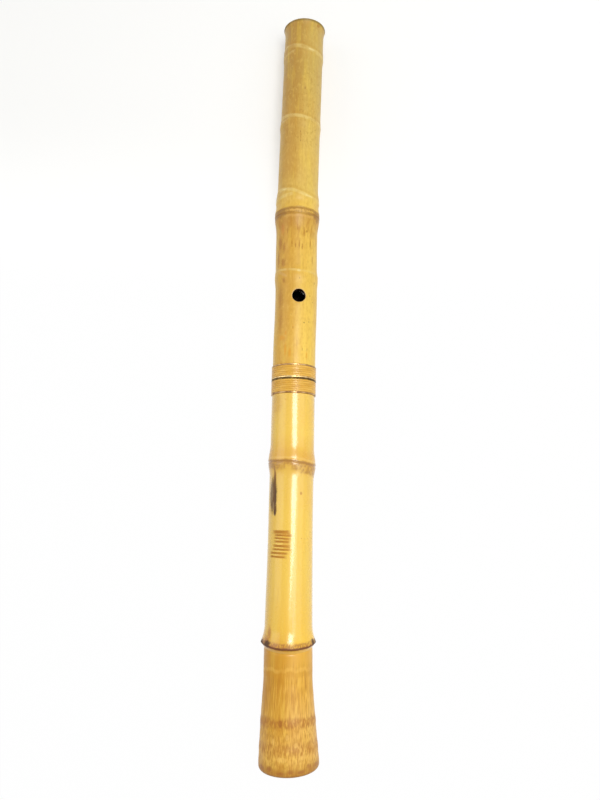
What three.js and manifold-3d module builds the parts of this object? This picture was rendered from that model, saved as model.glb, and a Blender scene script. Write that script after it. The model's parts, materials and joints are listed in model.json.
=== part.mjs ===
// A two-piece bamboo shakuhachi, lying with its thumb hole up. Millimetres, +Z up.
// The flute runs along +Y from its root end to its mouth end. Each half is worked out
// in its own frame, where Y is the distance from the root end along the axis. The root
// bends down and aside, its rings square to the bent axis. The whole flute is then tilted
// until it rests on its root end and on the lowest of its upper nodes.

import * as THREE from 'three';
import { mergeVertices } from 'three/addons/utils/BufferGeometryUtils.js';
import Module from 'manifold-3d';

const wasm = await Module();
wasm.setup();

// Overall sizes
const length = 545;
const jointAt = 261.4;
const thumbRoll = THREE.MathUtils.degToRad(8);

// Bamboo radius between the nodes
const mouthRadius = 15.3;
const jointRadius = 15.75;
const waistRadius = 15.85;
const waistAt = 165;
const neckRadius = 17;
const neckAt = 55;
const rootRadius = 20.6;
const rootWidestAt = 5;
const rootEdgeRound = 2;

// Places of the nodes, from the mouth end down to the root
const mouthLipAt = length;
const firstNodeAt = 520.5;
const secondNodeAt = 460.5;
const shoulderAt = 399.5;
const ridgeAt = 388.4;
const fourthNodeAt = 338;
const fifthNodeAt = 201.4;
const ringAt = 77.6;
const upperRootNodeAt = 30;
const lowerRootNodeAt = 14;

// How far each node stands out of the bamboo
const mouthLipRise = 1.2;
const firstNodeRise = 0.3;
const secondNodeRise = 0.45;
const shoulderRise = 0.95;
const ridgeRise = 1.5;
const fourthNodeRise = 0.6;
const fifthNodeRise = 1.3;
const ringRise = 2.35;
const rootNodeRise = 0.2;

// How far along the tube a node's swelling reaches
const softReach = 8;
const lipReach = 7;
const shoulderReach = 10;
const ridgeReachBelow = 16;
const fifthReachAbove = 13;
const fifthReachBelow = 10.5;
const ringReachAbove = 11;
const ringReachBelow = 4;
const rootNodeReach = 5;

// The natural bends of the culm: its root end swept aside, down and a little out,
// a slight bow in the upper half, and a lean at the mouth
const rootSweep = 2.2;
const rootDrop = 5;
const rootStretch = 1.7;
const rootBendLength = 100;
const bendStep = 15;
const bow = 0.6;
const bowAt = 320;
const bowReach = 40;
const mouthLean = 2.8;
const mouthLeanLength = 155;
const leanEase = 30;

// Bore
const mouthBoreRadius = 10.2;
const jointBoreRadius = 9.4;
const throatBoreRadius = 8.3;
const throatAt = 110;
const rootBoreRadius = 8.9;
const rootExitFlare = 0.8;
const rootExitDepth = 5;
const naturalBoreRadius = 11.2;
const mouthBlockLength = 18;
const rootBlockLength = 42;

// Finger holes and thumb hole
const holeRadius = 4.9;
const holeBevel = 0.5;
const firstHoleAt = 120;
const holePitch = 54.5;
const fingerHoles = 4;
const thumbHoleAt = 322;

// Blowing edge and its inlay
const edgeDrop = 2.4;
const edgeAngle = THREE.MathUtils.degToRad(30);
const inlayTopHalfWidth = 6.6;
const inlayFootHalfWidth = 3.8;
const inlayReach = 9;
const inlayDepth = 2.6;

// Middle joint
const tenonRadius = 11.7;
const tenonReach = 25;
const tenonGlued = 17;
const tenonBevel = 0.8;
const linerWall = 0.8;

// Rings and rattan bindings on both sides of the joint
const upperCollarLength = 10.1;
const lowerCollarLength = 11.1;
const recessDepth = 1.05;
const ringWidth = 1.1;
const ringStand = 0.5;
const ringEdgeRound = 0.25;
const caneWidth = 0.84;
const caneThickness = 1.1;
const upperCaneTurns = 5;
const lowerCaneTurns = 6;

// Fits
const clearance = 0.3;
const faceGap = 0.3;
const overrun = 5;
const mergeDistance = 0.0001;
const stationGap = 0.7;
const plainStep = 26;

// Facets
const segments = 36;
const holeSegments = 24;
const canePerTurn = 24;
const caneSides = 6;
const halfFacet = Math.PI / segments;

// Colours of the finishes
const upperBamboo = new THREE.MeshStandardMaterial({ color: 0xd0ab5a, roughness: 0.5, metalness: 0 });
const lowerBamboo = new THREE.MeshStandardMaterial({ color: 0xe2b955, roughness: 0.3, metalness: 0 });
const tenonBamboo = new THREE.MeshStandardMaterial({ color: 0xb98a45, roughness: 0.45, metalness: 0 });
const darkLacquer = new THREE.MeshStandardMaterial({ color: 0x2a1611, roughness: 0.25, metalness: 0 });
const redLacquer = new THREE.MeshStandardMaterial({ color: 0x5c1d14, roughness: 0.25, metalness: 0 });
const blackHorn = new THREE.MeshStandardMaterial({ color: 0x1b1714, roughness: 0.3, metalness: 0 });
const silver = new THREE.MeshStandardMaterial({ color: 0xb7aea8, roughness: 0.3, metalness: 0.9 });
const darkSilver = new THREE.MeshStandardMaterial({ color: 0x4a4032, roughness: 0.5, metalness: 0.7 });
const rattan = new THREE.MeshStandardMaterial({ color: 0xdda24b, roughness: 0.4, metalness: 0 });

// The nodes: place, rise, and reach towards the mouth and towards the root.
// A keen node comes to a sharp crest, any other is a soft swelling.
const nodes = [
  { at: mouthLipAt, rise: mouthLipRise, above: lipReach, below: lipReach, keen: true },
  { at: firstNodeAt, rise: firstNodeRise, above: softReach, below: softReach },
  { at: secondNodeAt, rise: secondNodeRise, above: softReach, below: softReach },
  { at: shoulderAt, rise: shoulderRise, above: shoulderReach, below: shoulderReach },
  { at: ridgeAt, rise: ridgeRise, above: softReach, below: ridgeReachBelow },
  { at: fourthNodeAt, rise: fourthNodeRise, above: softReach, below: softReach },
  { at: fifthNodeAt, rise: fifthNodeRise, above: fifthReachAbove, below: fifthReachBelow },
  { at: ringAt, rise: ringRise, above: ringReachAbove, below: ringReachBelow, keen: true },
  { at: upperRootNodeAt, rise: rootNodeRise, above: rootNodeReach, below: rootNodeReach },
  { at: lowerRootNodeAt, rise: rootNodeRise, above: rootNodeReach, below: rootNodeReach },
];

// Where a node gets its own outline points, as shares of its reach
const nodeStationShares = [-1, -0.5, -0.2, 0, 0.2, 0.5, 1];

// Smooth passage from one value to another as t goes from 0 to 1
function ease(from, to, t) {
  return from + (to - from) * THREE.MathUtils.smoothstep(t, 0, 1);
}

// How much a node adds to the radius at a place along the tube
function swelling(node, at) {
  const away = at - node.at;
  const t = Math.abs(away) / (away > 0 ? node.above : node.below);
  if (t >= 1) return 0;
  const bell = (1 + Math.cos(Math.PI * t)) / 2;
  return node.rise * (node.keen ? (1 - t) ** 2 : bell);
}

// Plain radius of the culm, without its nodes
function culmRadius(at) {
  if (at < neckAt) {
    const t = (neckAt - at) / (neckAt - rootWidestAt);
    return neckRadius + (rootRadius - neckRadius) * Math.min(t, 1);
  }
  if (at < waistAt) return ease(neckRadius, waistRadius, (at - neckAt) / (waistAt - neckAt));
  if (at < jointAt) return ease(waistRadius, jointRadius, (at - waistAt) / (jointAt - waistAt));
  return ease(jointRadius, mouthRadius, (at - jointAt) / (length - jointAt));
}

// Outside radius of the bamboo, nodes and all
function outerRadius(at) {
  return nodes.reduce((radius, node) => radius + swelling(node, at), culmRadius(at));
}

// Share of the root's bend at a place: one at the root end, nought where the bend begins
function bendShare(at) {
  return Math.max(rootBendLength - at, 0) / rootBendLength;
}

// Sideways place of the flute's axis: it sweeps near the root, bows above the joint and
// leans above the ridge
function sideways(at) {
  const bowShare = Math.min(Math.abs(at - bowAt) / bowReach, 1);
  const bowed = bow * (1 + Math.cos(Math.PI * bowShare)) / 2;
  const past = Math.max(at - (length - mouthLeanLength), 0);
  const eased = past < leanEase ? past ** 2 / (2 * leanEase) : past - leanEase / 2;
  const leant = mouthLean * eased / (mouthLeanLength - leanEase / 2);
  return rootSweep * bendShare(at) ** 2 + bowed + leant;
}

// Places from one to another, near enough together for a straight wall to follow the bend
function bendStations(from, to) {
  const steps = Math.ceil(Math.abs(to - from) / bendStep);
  return Array.from({ length: steps + 1 }, (_, i) => from + (to - from) * i / steps);
}

// Radius of the finished bore
function boreRadius(at) {
  if (at < rootBlockLength) return rootBoreRadius;
  if (at < throatAt) {
    return ease(rootBoreRadius, throatBoreRadius, (at - rootBlockLength) / (throatAt - rootBlockLength));
  }
  const socketFloor = jointAt - tenonReach;
  if (at < socketFloor) {
    return ease(throatBoreRadius, jointBoreRadius, (at - throatAt) / (socketFloor - throatAt));
  }
  const tenonTop = jointAt + tenonGlued;
  const t = (at - tenonTop) / (length - mouthBlockLength - tenonTop);
  return jointBoreRadius + (mouthBoreRadius - jointBoreRadius) * THREE.MathUtils.clamp(t, 0, 1);
}

// Places along the tube where its outline needs a point, in order from the root
function outlineStations(from, to) {
  const wanted = [from, to];
  for (const node of nodes) {
    for (const share of nodeStationShares) {
      wanted.push(node.at + share * (share > 0 ? node.above : node.below));
    }
  }
  const inside = wanted.filter((at) => at >= from && at <= to).sort((a, b) => a - b);
  const spaced = inside.filter((at, i) => i === 0 || at === to || at - inside[i - 1] > stationGap);
  const stations = [];
  spaced.forEach((at, i) => {
    const last = stations[stations.length - 1];
    const gap = i === 0 ? 0 : at - last;
    const extra = Math.floor(gap / plainStep);
    for (let k = 1; k <= extra; k += 1) stations.push(last + gap * k / (extra + 1));
    stations.push(at);
  });
  return stations;
}

// Turns a closed outline of [radius, place] pairs into a ring round the Y axis.
// The outline runs up the outside and back down the inside. A flat of the facets
// faces the ground, and every ring follows the bends of the culm.
function revolve(outline) {
  const points = outline.map(([radius, at]) => new THREE.Vector2(radius, at));
  points.push(points[0].clone());
  const ring = new THREE.LatheGeometry(points, segments, halfFacet, 2 * Math.PI);
  return follow(ring);
}

// Moves each vertex with the culm's axis, and sets the rings of the root square to it
function follow(geometry) {
  const position = geometry.getAttribute('position');
  for (let i = 0; i < position.count; i += 1) {
    const x = position.getX(i);
    const at = position.getY(i);
    const z = position.getZ(i);
    const share = bendShare(at);
    const slant = 2 * share / rootBendLength * (rootSweep * x - rootDrop * z);
    const along = at - rootStretch * share ** 2 + slant;
    position.setXYZ(i, x + sideways(at), along, z - rootDrop * share ** 2);
  }
  geometry.computeVertexNormals();
  return geometry;
}

// Closed geometry to a solid, for cutting
function solid(geometry) {
  const plain = geometry.clone();
  plain.deleteAttribute('normal');
  plain.deleteAttribute('uv');
  const merged = mergeVertices(plain, mergeDistance);
  return new wasm.Manifold(new wasm.Mesh({
    numProp: 3,
    vertProperties: new Float32Array(merged.getAttribute('position').array),
    triVerts: new Uint32Array(merged.getIndex().array),
  }));
}

// Solid back to a geometry
function surface(shape) {
  const mesh = shape.getMesh();
  const geometry = new THREE.BufferGeometry();
  geometry.setAttribute('position', new THREE.BufferAttribute(new Float32Array(mesh.vertProperties), 3));
  geometry.setIndex(new THREE.BufferAttribute(new Uint32Array(mesh.triVerts), 1));
  geometry.computeVertexNormals();
  return geometry;
}

function piece(name, geometry, material) {
  const mesh = new THREE.Mesh(geometry, material);
  mesh.name = name;
  return mesh;
}

// A drill for one hole: a plug whose mouth flares into a bevel at the bamboo's surface.
// It stands along +Z for the thumb hole, or along -Z for a finger hole.
function holeDrill(at, front) {
  const skin = outerRadius(at);
  const outline = [
    [0, 0],
    [holeRadius, 0],
    [holeRadius, skin - 2 * holeBevel],
    [holeRadius + holeBevel + overrun, skin + overrun],
    [0, skin + overrun],
  ].map(([radius, height]) => new THREE.Vector2(radius, height));
  const drill = new THREE.LatheGeometry(outline, holeSegments, 0, 2 * Math.PI);
  drill.rotateX(front ? -Math.PI / 2 : Math.PI / 2);
  drill.rotateY(thumbRoll);
  drill.translate(sideways(at), at, 0);
  return solid(drill);
}

function fingerDrills(from, to) {
  const places = Array.from({ length: fingerHoles }, (_, i) => firstHoleAt + i * holePitch);
  return places.filter((at) => at > from && at < to).map((at) => holeDrill(at, true));
}

function cutAll(shape, drills) {
  return drills.reduce((body, drill) => body.subtract(drill), shape);
}

// Turns a tool made with the flute's front towards -Z to the rolled flute's mouth
function placeAtMouth(geometry) {
  geometry.rotateY(thumbRoll);
  geometry.translate(sideways(length), 0, 0);
  return solid(geometry);
}

// The wedge that the maker saws off the front of the mouth to leave the blowing edge
function mouthWedge() {
  const top = length + overrun;
  const out = outerRadius(length) + overrun;
  const edgeY = length - edgeDrop;
  const inner = -mouthBoreRadius + (top - edgeY) * Math.tan(edgeAngle);
  const foot = edgeY - (out - mouthBoreRadius) / Math.tan(edgeAngle);
  const side = new THREE.Shape([
    new THREE.Vector2(inner, top),
    new THREE.Vector2(-out, top),
    new THREE.Vector2(-out, foot),
  ]);
  const wedge = new THREE.ExtrudeGeometry(side, { depth: 2 * out, bevelEnabled: false });
  wedge.rotateY(-Math.PI / 2);
  wedge.translate(out, 0, 0);
  return placeAtMouth(wedge);
}

// The inlay's prism, sunk square to the sloping cut, wider at the blowing edge
function inlayPrism(grow) {
  const up = overrun;
  const slope = (inlayTopHalfWidth - inlayFootHalfWidth) / inlayReach;
  const topHalf = inlayTopHalfWidth + slope * up + grow;
  const footHalf = inlayFootHalfWidth + grow;
  const depth = inlayDepth + grow;
  const face = new THREE.Shape([
    new THREE.Vector2(-topHalf, -up),
    new THREE.Vector2(topHalf, -up),
    new THREE.Vector2(footHalf, inlayReach + grow),
    new THREE.Vector2(-footHalf, inlayReach + grow),
  ]);
  const prism = new THREE.ExtrudeGeometry(face, { depth: depth + overrun, bevelEnabled: false });
  prism.translate(0, 0, -depth);
  const down = new THREE.Vector3(0, -Math.cos(edgeAngle), -Math.sin(edgeAngle));
  const across = new THREE.Vector3(1, 0, 0);
  const outwards = new THREE.Vector3().crossVectors(across, down);
  const frame = new THREE.Matrix4().makeBasis(across, down, outwards);
  frame.setPosition(0, length - edgeDrop, -mouthBoreRadius);
  prism.applyMatrix4(frame);
  return placeAtMouth(prism);
}

// Joint faces and the ends of the turned recess for the rings
const upperFace = jointAt + faceGap / 2;
const lowerFace = jointAt - faceGap / 2;
const upperCollarEnd = jointAt + upperCollarLength;
const lowerCollarEnd = jointAt - lowerCollarLength;
const recessRadius = jointRadius - recessDepth;
const tenonSleeveRadius = tenonRadius + clearance;
const socketRadius = tenonSleeveRadius + linerWall + clearance;
const socketFloor = jointAt - tenonReach - 2 * clearance;
const tenonPocketTop = jointAt + tenonGlued + clearance;
const liningTop = length - mouthBlockLength;
const naturalBorePlaces = bendStations(throatAt, rootBlockLength);

function upperTubeBlank() {
  const skin = outlineStations(upperCollarEnd, length).map((at) => [outerRadius(at), at]);
  return solid(revolve([
    [recessRadius, upperFace],
    [recessRadius, upperCollarEnd],
    ...skin,
    [mouthBoreRadius, length],
    [mouthBoreRadius, liningTop],
    [naturalBoreRadius, liningTop],
    [naturalBoreRadius, ridgeAt],
    [naturalBoreRadius, tenonPocketTop],
    [tenonSleeveRadius, tenonPocketTop],
    [tenonSleeveRadius, upperFace],
  ]));
}

function upperTube(blank) {
  const drills = [holeDrill(thumbHoleAt, false), ...fingerDrills(jointAt, length)];
  return surface(cutAll(blank, [...drills, mouthWedge(), inlayPrism(clearance)]));
}

function mouthInlay(blank) {
  return surface(blank.subtract(mouthWedge()).intersect(inlayPrism(0)));
}

// Quarter-round at the root's outside edge
function rootEdge() {
  const steps = 4;
  const middle = outerRadius(rootEdgeRound) - rootEdgeRound;
  return Array.from({ length: steps }, (_, i) => {
    const turn = Math.PI / 2 * (i / steps);
    return [middle + rootEdgeRound * Math.sin(turn), rootEdgeRound * (1 - Math.cos(turn))];
  });
}

function lowerTube() {
  const skin = outlineStations(rootEdgeRound, lowerCollarEnd).map((at) => [outerRadius(at), at]);
  const blank = solid(revolve([
    [rootBoreRadius + rootExitFlare, 0],
    ...rootEdge(),
    ...skin,
    [recessRadius, lowerCollarEnd],
    [recessRadius, lowerFace],
    [socketRadius, lowerFace],
    [socketRadius, socketFloor],
    [naturalBoreRadius, socketFloor],
    ...naturalBorePlaces.map((at) => [naturalBoreRadius, at]),
    ...bendStations(rootBlockLength, rootExitDepth).map((at) => [rootBoreRadius, at]),
  ]));
  return surface(cutAll(blank, fingerDrills(0, jointAt)));
}

// Hardened paste between the natural bore and the finished bore
function lining(from, to, drills) {
  const steps = 8;
  const between = [...naturalBorePlaces, (from + to) / 2].filter((at) => at > from && at < to);
  const places = [from, ...between.sort((a, b) => a - b), to];
  const outside = places.map((at) => [naturalBoreRadius - clearance, at]);
  const inside = Array.from({ length: steps + 1 }, (_, i) => {
    const at = to - (to - from) * i / steps;
    return [boreRadius(at), at];
  });
  const sleeve = solid(revolve([...outside, ...inside]));
  return surface(cutAll(sleeve, drills));
}

function tenon() {
  const foot = jointAt - tenonReach;
  const top = jointAt + tenonGlued;
  return revolve([
    [tenonRadius - tenonBevel, foot],
    [tenonRadius, foot + tenonBevel],
    [tenonRadius, jointAt],
    [tenonRadius, top],
    [jointBoreRadius, top],
    [jointBoreRadius, jointAt],
    [jointBoreRadius, foot],
  ]);
}

function socketLiner() {
  const foot = socketFloor + clearance;
  return revolve([
    [tenonSleeveRadius + linerWall, foot],
    [tenonSleeveRadius + linerWall, lowerFace],
    [tenonSleeveRadius, lowerFace],
    [tenonSleeveRadius, foot],
  ]);
}

// A thin ring with rounded outer edges, lying between two places along the flute
function metalRing(from, to) {
  const inner = recessRadius + clearance;
  const outer = jointRadius + ringStand;
  return revolve([
    [inner, from],
    [outer - ringEdgeRound, from],
    [outer, from + ringEdgeRound],
    [outer, to - ringEdgeRound],
    [outer - ringEdgeRound, to],
    [inner, to],
  ]);
}

// Centre line of a rattan binding: one helix between two rings, whose two ends run
// on straight for one width of the cane
function caneLine(from, to, turns) {
  const steps = turns * canePerTurn;
  const radius = jointRadius + ringStand - caneThickness / 2;
  const rise = to - from - caneWidth;
  const helix = Array.from({ length: steps + 1 }, (_, i) => {
    const turn = 2 * Math.PI * i / canePerTurn;
    const at = from + caneWidth / 2 + rise * i / steps;
    return new THREE.Vector3(radius * Math.sin(turn) + sideways(at), at, radius * Math.cos(turn));
  });
  const runOn = (end, next) => end.clone().sub(next).setLength(caneWidth).add(end);
  return [runOn(helix[0], helix[1]), ...helix, runOn(helix[steps], helix[steps - 1])];
}

// Least gap between one turn of the cane and the next, measured on the line's points
function leastCaneGap(line) {
  let least = Infinity;
  for (let i = 0; i < line.length; i += 1) {
    for (let k = i + canePerTurn / 2; k < line.length; k += 1) {
      least = Math.min(least, line[i].distanceTo(line[k]) - caneWidth);
    }
  }
  return least;
}

// One unbroken strand of cane along its line, an oval of a few sides, closed at both ends
function binding(name, from, to, turns) {
  const line = caneLine(from, to, turns);
  console.log(`${name}: least gap between turns ${leastCaneGap(line).toFixed(2)} mm`);
  const vertices = [];
  line.forEach((point, i) => {
    const centre = new THREE.Vector3(sideways(point.y), point.y, 0);
    const outwards = point.clone().sub(centre).normalize();
    const along = line[Math.min(i + 1, line.length - 1)].clone().sub(line[Math.max(i - 1, 0)]);
    const across = along.normalize().cross(outwards).normalize();
    for (let k = 0; k < caneSides; k += 1) {
      const turn = 2 * Math.PI * (k + 1 / 2) / caneSides;
      const corner = point.clone();
      corner.addScaledVector(outwards, caneThickness / 2 * Math.cos(turn));
      corner.addScaledVector(across, caneWidth / 2 * Math.sin(turn));
      vertices.push(...corner.toArray());
    }
  });
  return tubeGeometry(vertices, line.length, caneSides);
}

// Faces for rings of corners joined one to the next, with a flat fan at each end
function tubeGeometry(vertices, rings, sides) {
  const faces = [];
  for (let i = 0; i + 1 < rings; i += 1) {
    for (let k = 0; k < sides; k += 1) {
      const a = i * sides + k;
      const b = i * sides + (k + 1) % sides;
      faces.push(a, b, a + sides, b, b + sides, a + sides);
    }
  }
  const last = (rings - 1) * sides;
  for (let k = 1; k + 1 < sides; k += 1) {
    faces.push(0, k + 1, k);
    faces.push(last, last + k, last + k + 1);
  }
  const geometry = new THREE.BufferGeometry();
  geometry.setAttribute('position', new THREE.Float32BufferAttribute(vertices, 3));
  geometry.setIndex(faces);
  geometry.computeVertexNormals();
  return geometry;
}

function upperHalf() {
  const half = new THREE.Group();
  const blank = upperTubeBlank();
  const drills = [holeDrill(thumbHoleAt, false), ...fingerDrills(jointAt, length)];
  const edgeFoot = upperCollarEnd - ringWidth;
  const faceTop = upperFace + ringWidth;
  half.add(piece('upper_tube', upperTube(blank), upperBamboo));
  half.add(piece('mouth_inlay', mouthInlay(blank), blackHorn));
  half.add(piece('upper_lining', lining(tenonPocketTop + clearance, liningTop - clearance, drills), darkLacquer));
  half.add(piece('tenon', tenon(), tenonBamboo));
  half.add(piece('upper_edge_ring', metalRing(edgeFoot, upperCollarEnd - clearance), silver));
  half.add(piece('upper_face_ring', metalRing(upperFace, faceTop), silver));
  const cane = binding('upper_binding', faceTop + clearance, edgeFoot - clearance, upperCaneTurns);
  half.add(piece('upper_binding', cane, rattan));
  return half;
}

function lowerHalf() {
  const half = new THREE.Group();
  const drills = fingerDrills(0, jointAt);
  const edgeTop = lowerCollarEnd + ringWidth;
  const faceFoot = lowerFace - ringWidth;
  half.add(piece('lower_tube', lowerTube(), lowerBamboo));
  half.add(piece('lower_lining', lining(rootBlockLength + clearance, socketFloor, drills), darkLacquer));
  half.add(piece('socket_liner', socketLiner(), redLacquer));
  half.add(piece('lower_edge_ring', metalRing(lowerCollarEnd + clearance, edgeTop), silver));
  half.add(piece('lower_face_ring', metalRing(faceFoot, lowerFace), darkSilver));
  const cane = binding('lower_binding', edgeTop + clearance, faceFoot - clearance, lowerCaneTurns);
  half.add(piece('lower_binding', cane, rattan));
  return half;
}

// Where the underside lies at a place of the axis: how far along, and how far down
function underside(at) {
  const share = bendShare(at);
  const radius = outerRadius(at) * Math.cos(halfFacet);
  const slant = 2 * share / rootBendLength * rootDrop * radius;
  return [at - rootStretch * share ** 2 + slant, radius + rootDrop * share ** 2];
}

// The slope at which the flute lies on the heel of its root and on one upper node,
// with every other node clear of the table
function lieAngle() {
  const [heelAlong, heelDown] = underside(rootEdgeRound);
  const upperNodes = nodes.filter((node) => node.at > jointAt && node.at < liningTop);
  const slopes = upperNodes.map((node) => {
    const [along, down] = underside(node.at);
    return Math.atan2(heelDown - down, along - heelAlong);
  });
  return Math.min(...slopes);
}

// The flute at rest on the table, its axis sloping down to the mouth
function lyingFlute() {
  const flute = new THREE.Group();
  flute.add(lowerHalf(), upperHalf());
  flute.rotation.x = -lieAngle();
  flute.updateMatrixWorld(true);
  const box = new THREE.Box3().setFromObject(flute, true);
  const middle = box.getCenter(new THREE.Vector3());
  flute.position.set(-middle.x, -middle.y, -box.min.z);
  return flute;
}

const shakuhachi = new THREE.Group();
shakuhachi.add(lyingFlute());

export default shakuhachi;
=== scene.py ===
# %% [markdown]
# # A shakuhachi on a white table
# This lesson dresses and lights a bamboo flute that a CAD program has already built and measured.
# The CAD model is loaded as a fixed frame: it says where every piece lies, in metres, and which pieces
# move together. Here each piece gets the finer surface and the finish of the real thing. A camera, a white
# floor and four windows of light are put where they stood for the picture that the flute is made after.

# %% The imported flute
import json
import math

import bpy
import numpy as np
from mathutils import Matrix


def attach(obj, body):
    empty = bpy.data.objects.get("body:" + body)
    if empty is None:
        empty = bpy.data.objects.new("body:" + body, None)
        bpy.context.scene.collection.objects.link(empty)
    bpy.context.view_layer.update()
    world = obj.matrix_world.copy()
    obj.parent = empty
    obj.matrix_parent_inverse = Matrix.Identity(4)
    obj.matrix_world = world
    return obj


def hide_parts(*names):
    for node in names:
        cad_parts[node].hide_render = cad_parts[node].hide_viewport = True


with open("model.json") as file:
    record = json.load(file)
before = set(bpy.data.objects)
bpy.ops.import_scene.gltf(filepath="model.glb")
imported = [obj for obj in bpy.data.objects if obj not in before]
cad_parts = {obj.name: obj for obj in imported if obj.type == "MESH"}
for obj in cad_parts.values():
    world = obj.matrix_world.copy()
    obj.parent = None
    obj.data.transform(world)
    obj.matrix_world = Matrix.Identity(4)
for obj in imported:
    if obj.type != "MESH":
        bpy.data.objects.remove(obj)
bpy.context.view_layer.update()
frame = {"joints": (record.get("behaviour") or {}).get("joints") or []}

# %% [markdown]
# ## The flute's own directions
# The flute lies on its wide root end and on a node near its mouth, so its axis slopes by a degree. It is
# easier to think along the flute than along the table, so every shape below is written in the flute's own
# terms: a distance from the root end, and an offset to the side and upwards from the axis, in millimetres.
# The axis and one point on it come from the joint between the two halves, which turns about that axis.

# %% From the flute's terms to the frame
MM = 0.001
LENGTH = 545.0
JOINT_AT = 261.4
joint_point = np.array(frame["joints"][0]["pos_m"])
along_axis = np.array(frame["joints"][0]["axis"])
along_axis = along_axis / np.linalg.norm(along_axis)
side_axis = np.array([1.0, 0.0, 0.0])
up_axis = np.cross(side_axis, along_axis)


def in_frame(side, along, up):
    """Point in metres = joint point + side * X + (along - joint's place) * axis + up * upward axis."""
    side, along, up = np.broadcast_arrays(*(np.asarray(x, float)[..., None] for x in (side, along, up)))
    return joint_point + MM * (side * side_axis + (along - JOINT_AT) * along_axis + up * up_axis)


print("middle of the root end:", np.round(in_frame(0, 0, 0), 4))
print("middle of the mouth end:", np.round(in_frame(0, LENGTH, 0), 4))

# %% [markdown]
# ## The camera
# The picture was taken from half a metre above the lower half, tipped ten degrees towards the mouth end.
# The sides of the flute draw together towards the far end, and how fast they do gives the distance; the
# focal length follows from how much of the frame the flute fills. The picture is 800 pixels high, and a
# focal length in pixels becomes millimetres when it is divided by 800 and multiplied by the sensor's 36.

# %% The camera above the lower half
PICTURE_HEIGHT = 800
SENSOR = 36.0
FOCAL_PIXELS = 740.0
TIP = math.radians(10)
TURN_IN_PLANE = 0.01952
CAMERA_PLACE = (6.7, 154.6, 528.5)

ahead = along_axis - TURN_IN_PLANE * side_axis
ahead = ahead / np.linalg.norm(ahead)
to_right = np.cross(ahead, up_axis)
picture_up = math.cos(TIP) * ahead + math.sin(TIP) * up_axis
backwards = -math.sin(TIP) * ahead + math.cos(TIP) * up_axis

camera = bpy.data.objects.new("camera", bpy.data.cameras.new("camera"))
bpy.context.scene.collection.objects.link(camera)
camera.data.sensor_width = SENSOR
camera.data.lens = FOCAL_PIXELS * SENSOR / PICTURE_HEIGHT
camera.data.clip_start = 0.02
camera.data.clip_end = 50.0
columns = np.column_stack([to_right, picture_up, backwards, in_frame(*CAMERA_PLACE)])
camera.matrix_world = Matrix([*columns.tolist(), [0, 0, 0, 1]])
bpy.context.scene.camera = camera
print("lens", round(camera.data.lens, 2), "mm")
print("camera at", [round(x, 3) for x in camera.matrix_world.translation])

# %% [markdown]
# ## Writing materials as recipes
# A material in Blender is a tree of small nodes. Written out node by node it is hard to read, so this
# small class adds a node, plugs in what it is given, and hands back the output, which then goes into the
# next step like a value in a formula. The nodes it makes are ordinary ones and can be opened in the editor.

# %% A recipe for a node tree
def colour(red, green, blue):
    """Screen colour 0-255 to the linear values that shaders use: ((c + 0.055) / 1.055) to the power 2.4."""
    linear = [c / 255 / 12.92 if c < 10.5 else ((c / 255 + 0.055) / 1.055) ** 2.4 for c in (red, green, blue)]
    return (*linear, 1.0)


class Recipe:
    """Adds nodes to one tree and links them, one step at a time."""

    def __init__(self, tree):
        self.tree = tree
        self.steps = 0

    def add(self, kind, inputs=(), **settings):
        """One node: settings are its attributes; inputs go by name or number, as values or as outputs."""
        node = self.tree.nodes.new(kind)
        node.location = (220 * (self.steps // 6) - 1600, 500 - 220 * (self.steps % 6))
        self.steps += 1
        for name, value in settings.items():
            setattr(node, name, value)
        for name, value in dict(inputs).items():
            if isinstance(value, bpy.types.NodeSocket):
                self.tree.links.new(value, node.inputs[name])
            else:
                node.inputs[name].default_value = value
        return node

    def math(self, operation, a, b=0.0, c=0.0, clamp=False):
        """Result of one sum on numbers."""
        return self.add("ShaderNodeMath", {0: a, 1: b, 2: c}, operation=operation, use_clamp=clamp).outputs[0]

    def ease(self, value, start, end, low=0.0, high=1.0):
        """Goes smoothly from low to high as the value goes from start to end."""
        inputs = {"Value": value, "From Min": start, "From Max": end, "To Min": low, "To Max": high}
        return self.add("ShaderNodeMapRange", inputs, interpolation_type="SMOOTHSTEP").outputs[0]

    def mix(self, share, first, second, way="MIX"):
        """First colour, with this share of the second laid over it."""
        inputs = {0: share, 6: first, 7: second}
        return self.add("ShaderNodeMix", inputs, data_type="RGBA", blend_type=way).outputs[2]

    def ramp(self, value, stops):
        """Colours picked along a value, from (value, colour) pairs in rising order."""
        node = self.add("ShaderNodeValToRGB", {0: value})
        elements = node.color_ramp.elements
        for position, tint in stops[1:-1]:
            elements.new(position)
        for element, (position, tint) in zip(elements, stops):
            element.position = position
            element.color = tint
        return node.outputs[0]

    def noise(self, vector, scale, detail=2.0, roughness=0.5):
        """Cloudy values from 0 to 1, about one half on the whole."""
        inputs = {"Vector": vector, "Scale": scale, "Detail": detail, "Roughness": roughness}
        return self.add("ShaderNodeTexNoise", inputs).outputs[0]

    def group(self, tree, **inputs):
        """A node group, with its inputs given by name, an underscore standing for a space."""
        node = self.add("ShaderNodeGroup", node_tree=tree)
        for name, value in inputs.items():
            socket = node.inputs[name.replace("_", " ")]
            if isinstance(value, bpy.types.NodeSocket):
                self.tree.links.new(value, socket)
            else:
                socket.default_value = value
        return node.outputs[0]


print("white paper is", [round(x, 2) for x in colour(245, 245, 245)])

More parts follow.
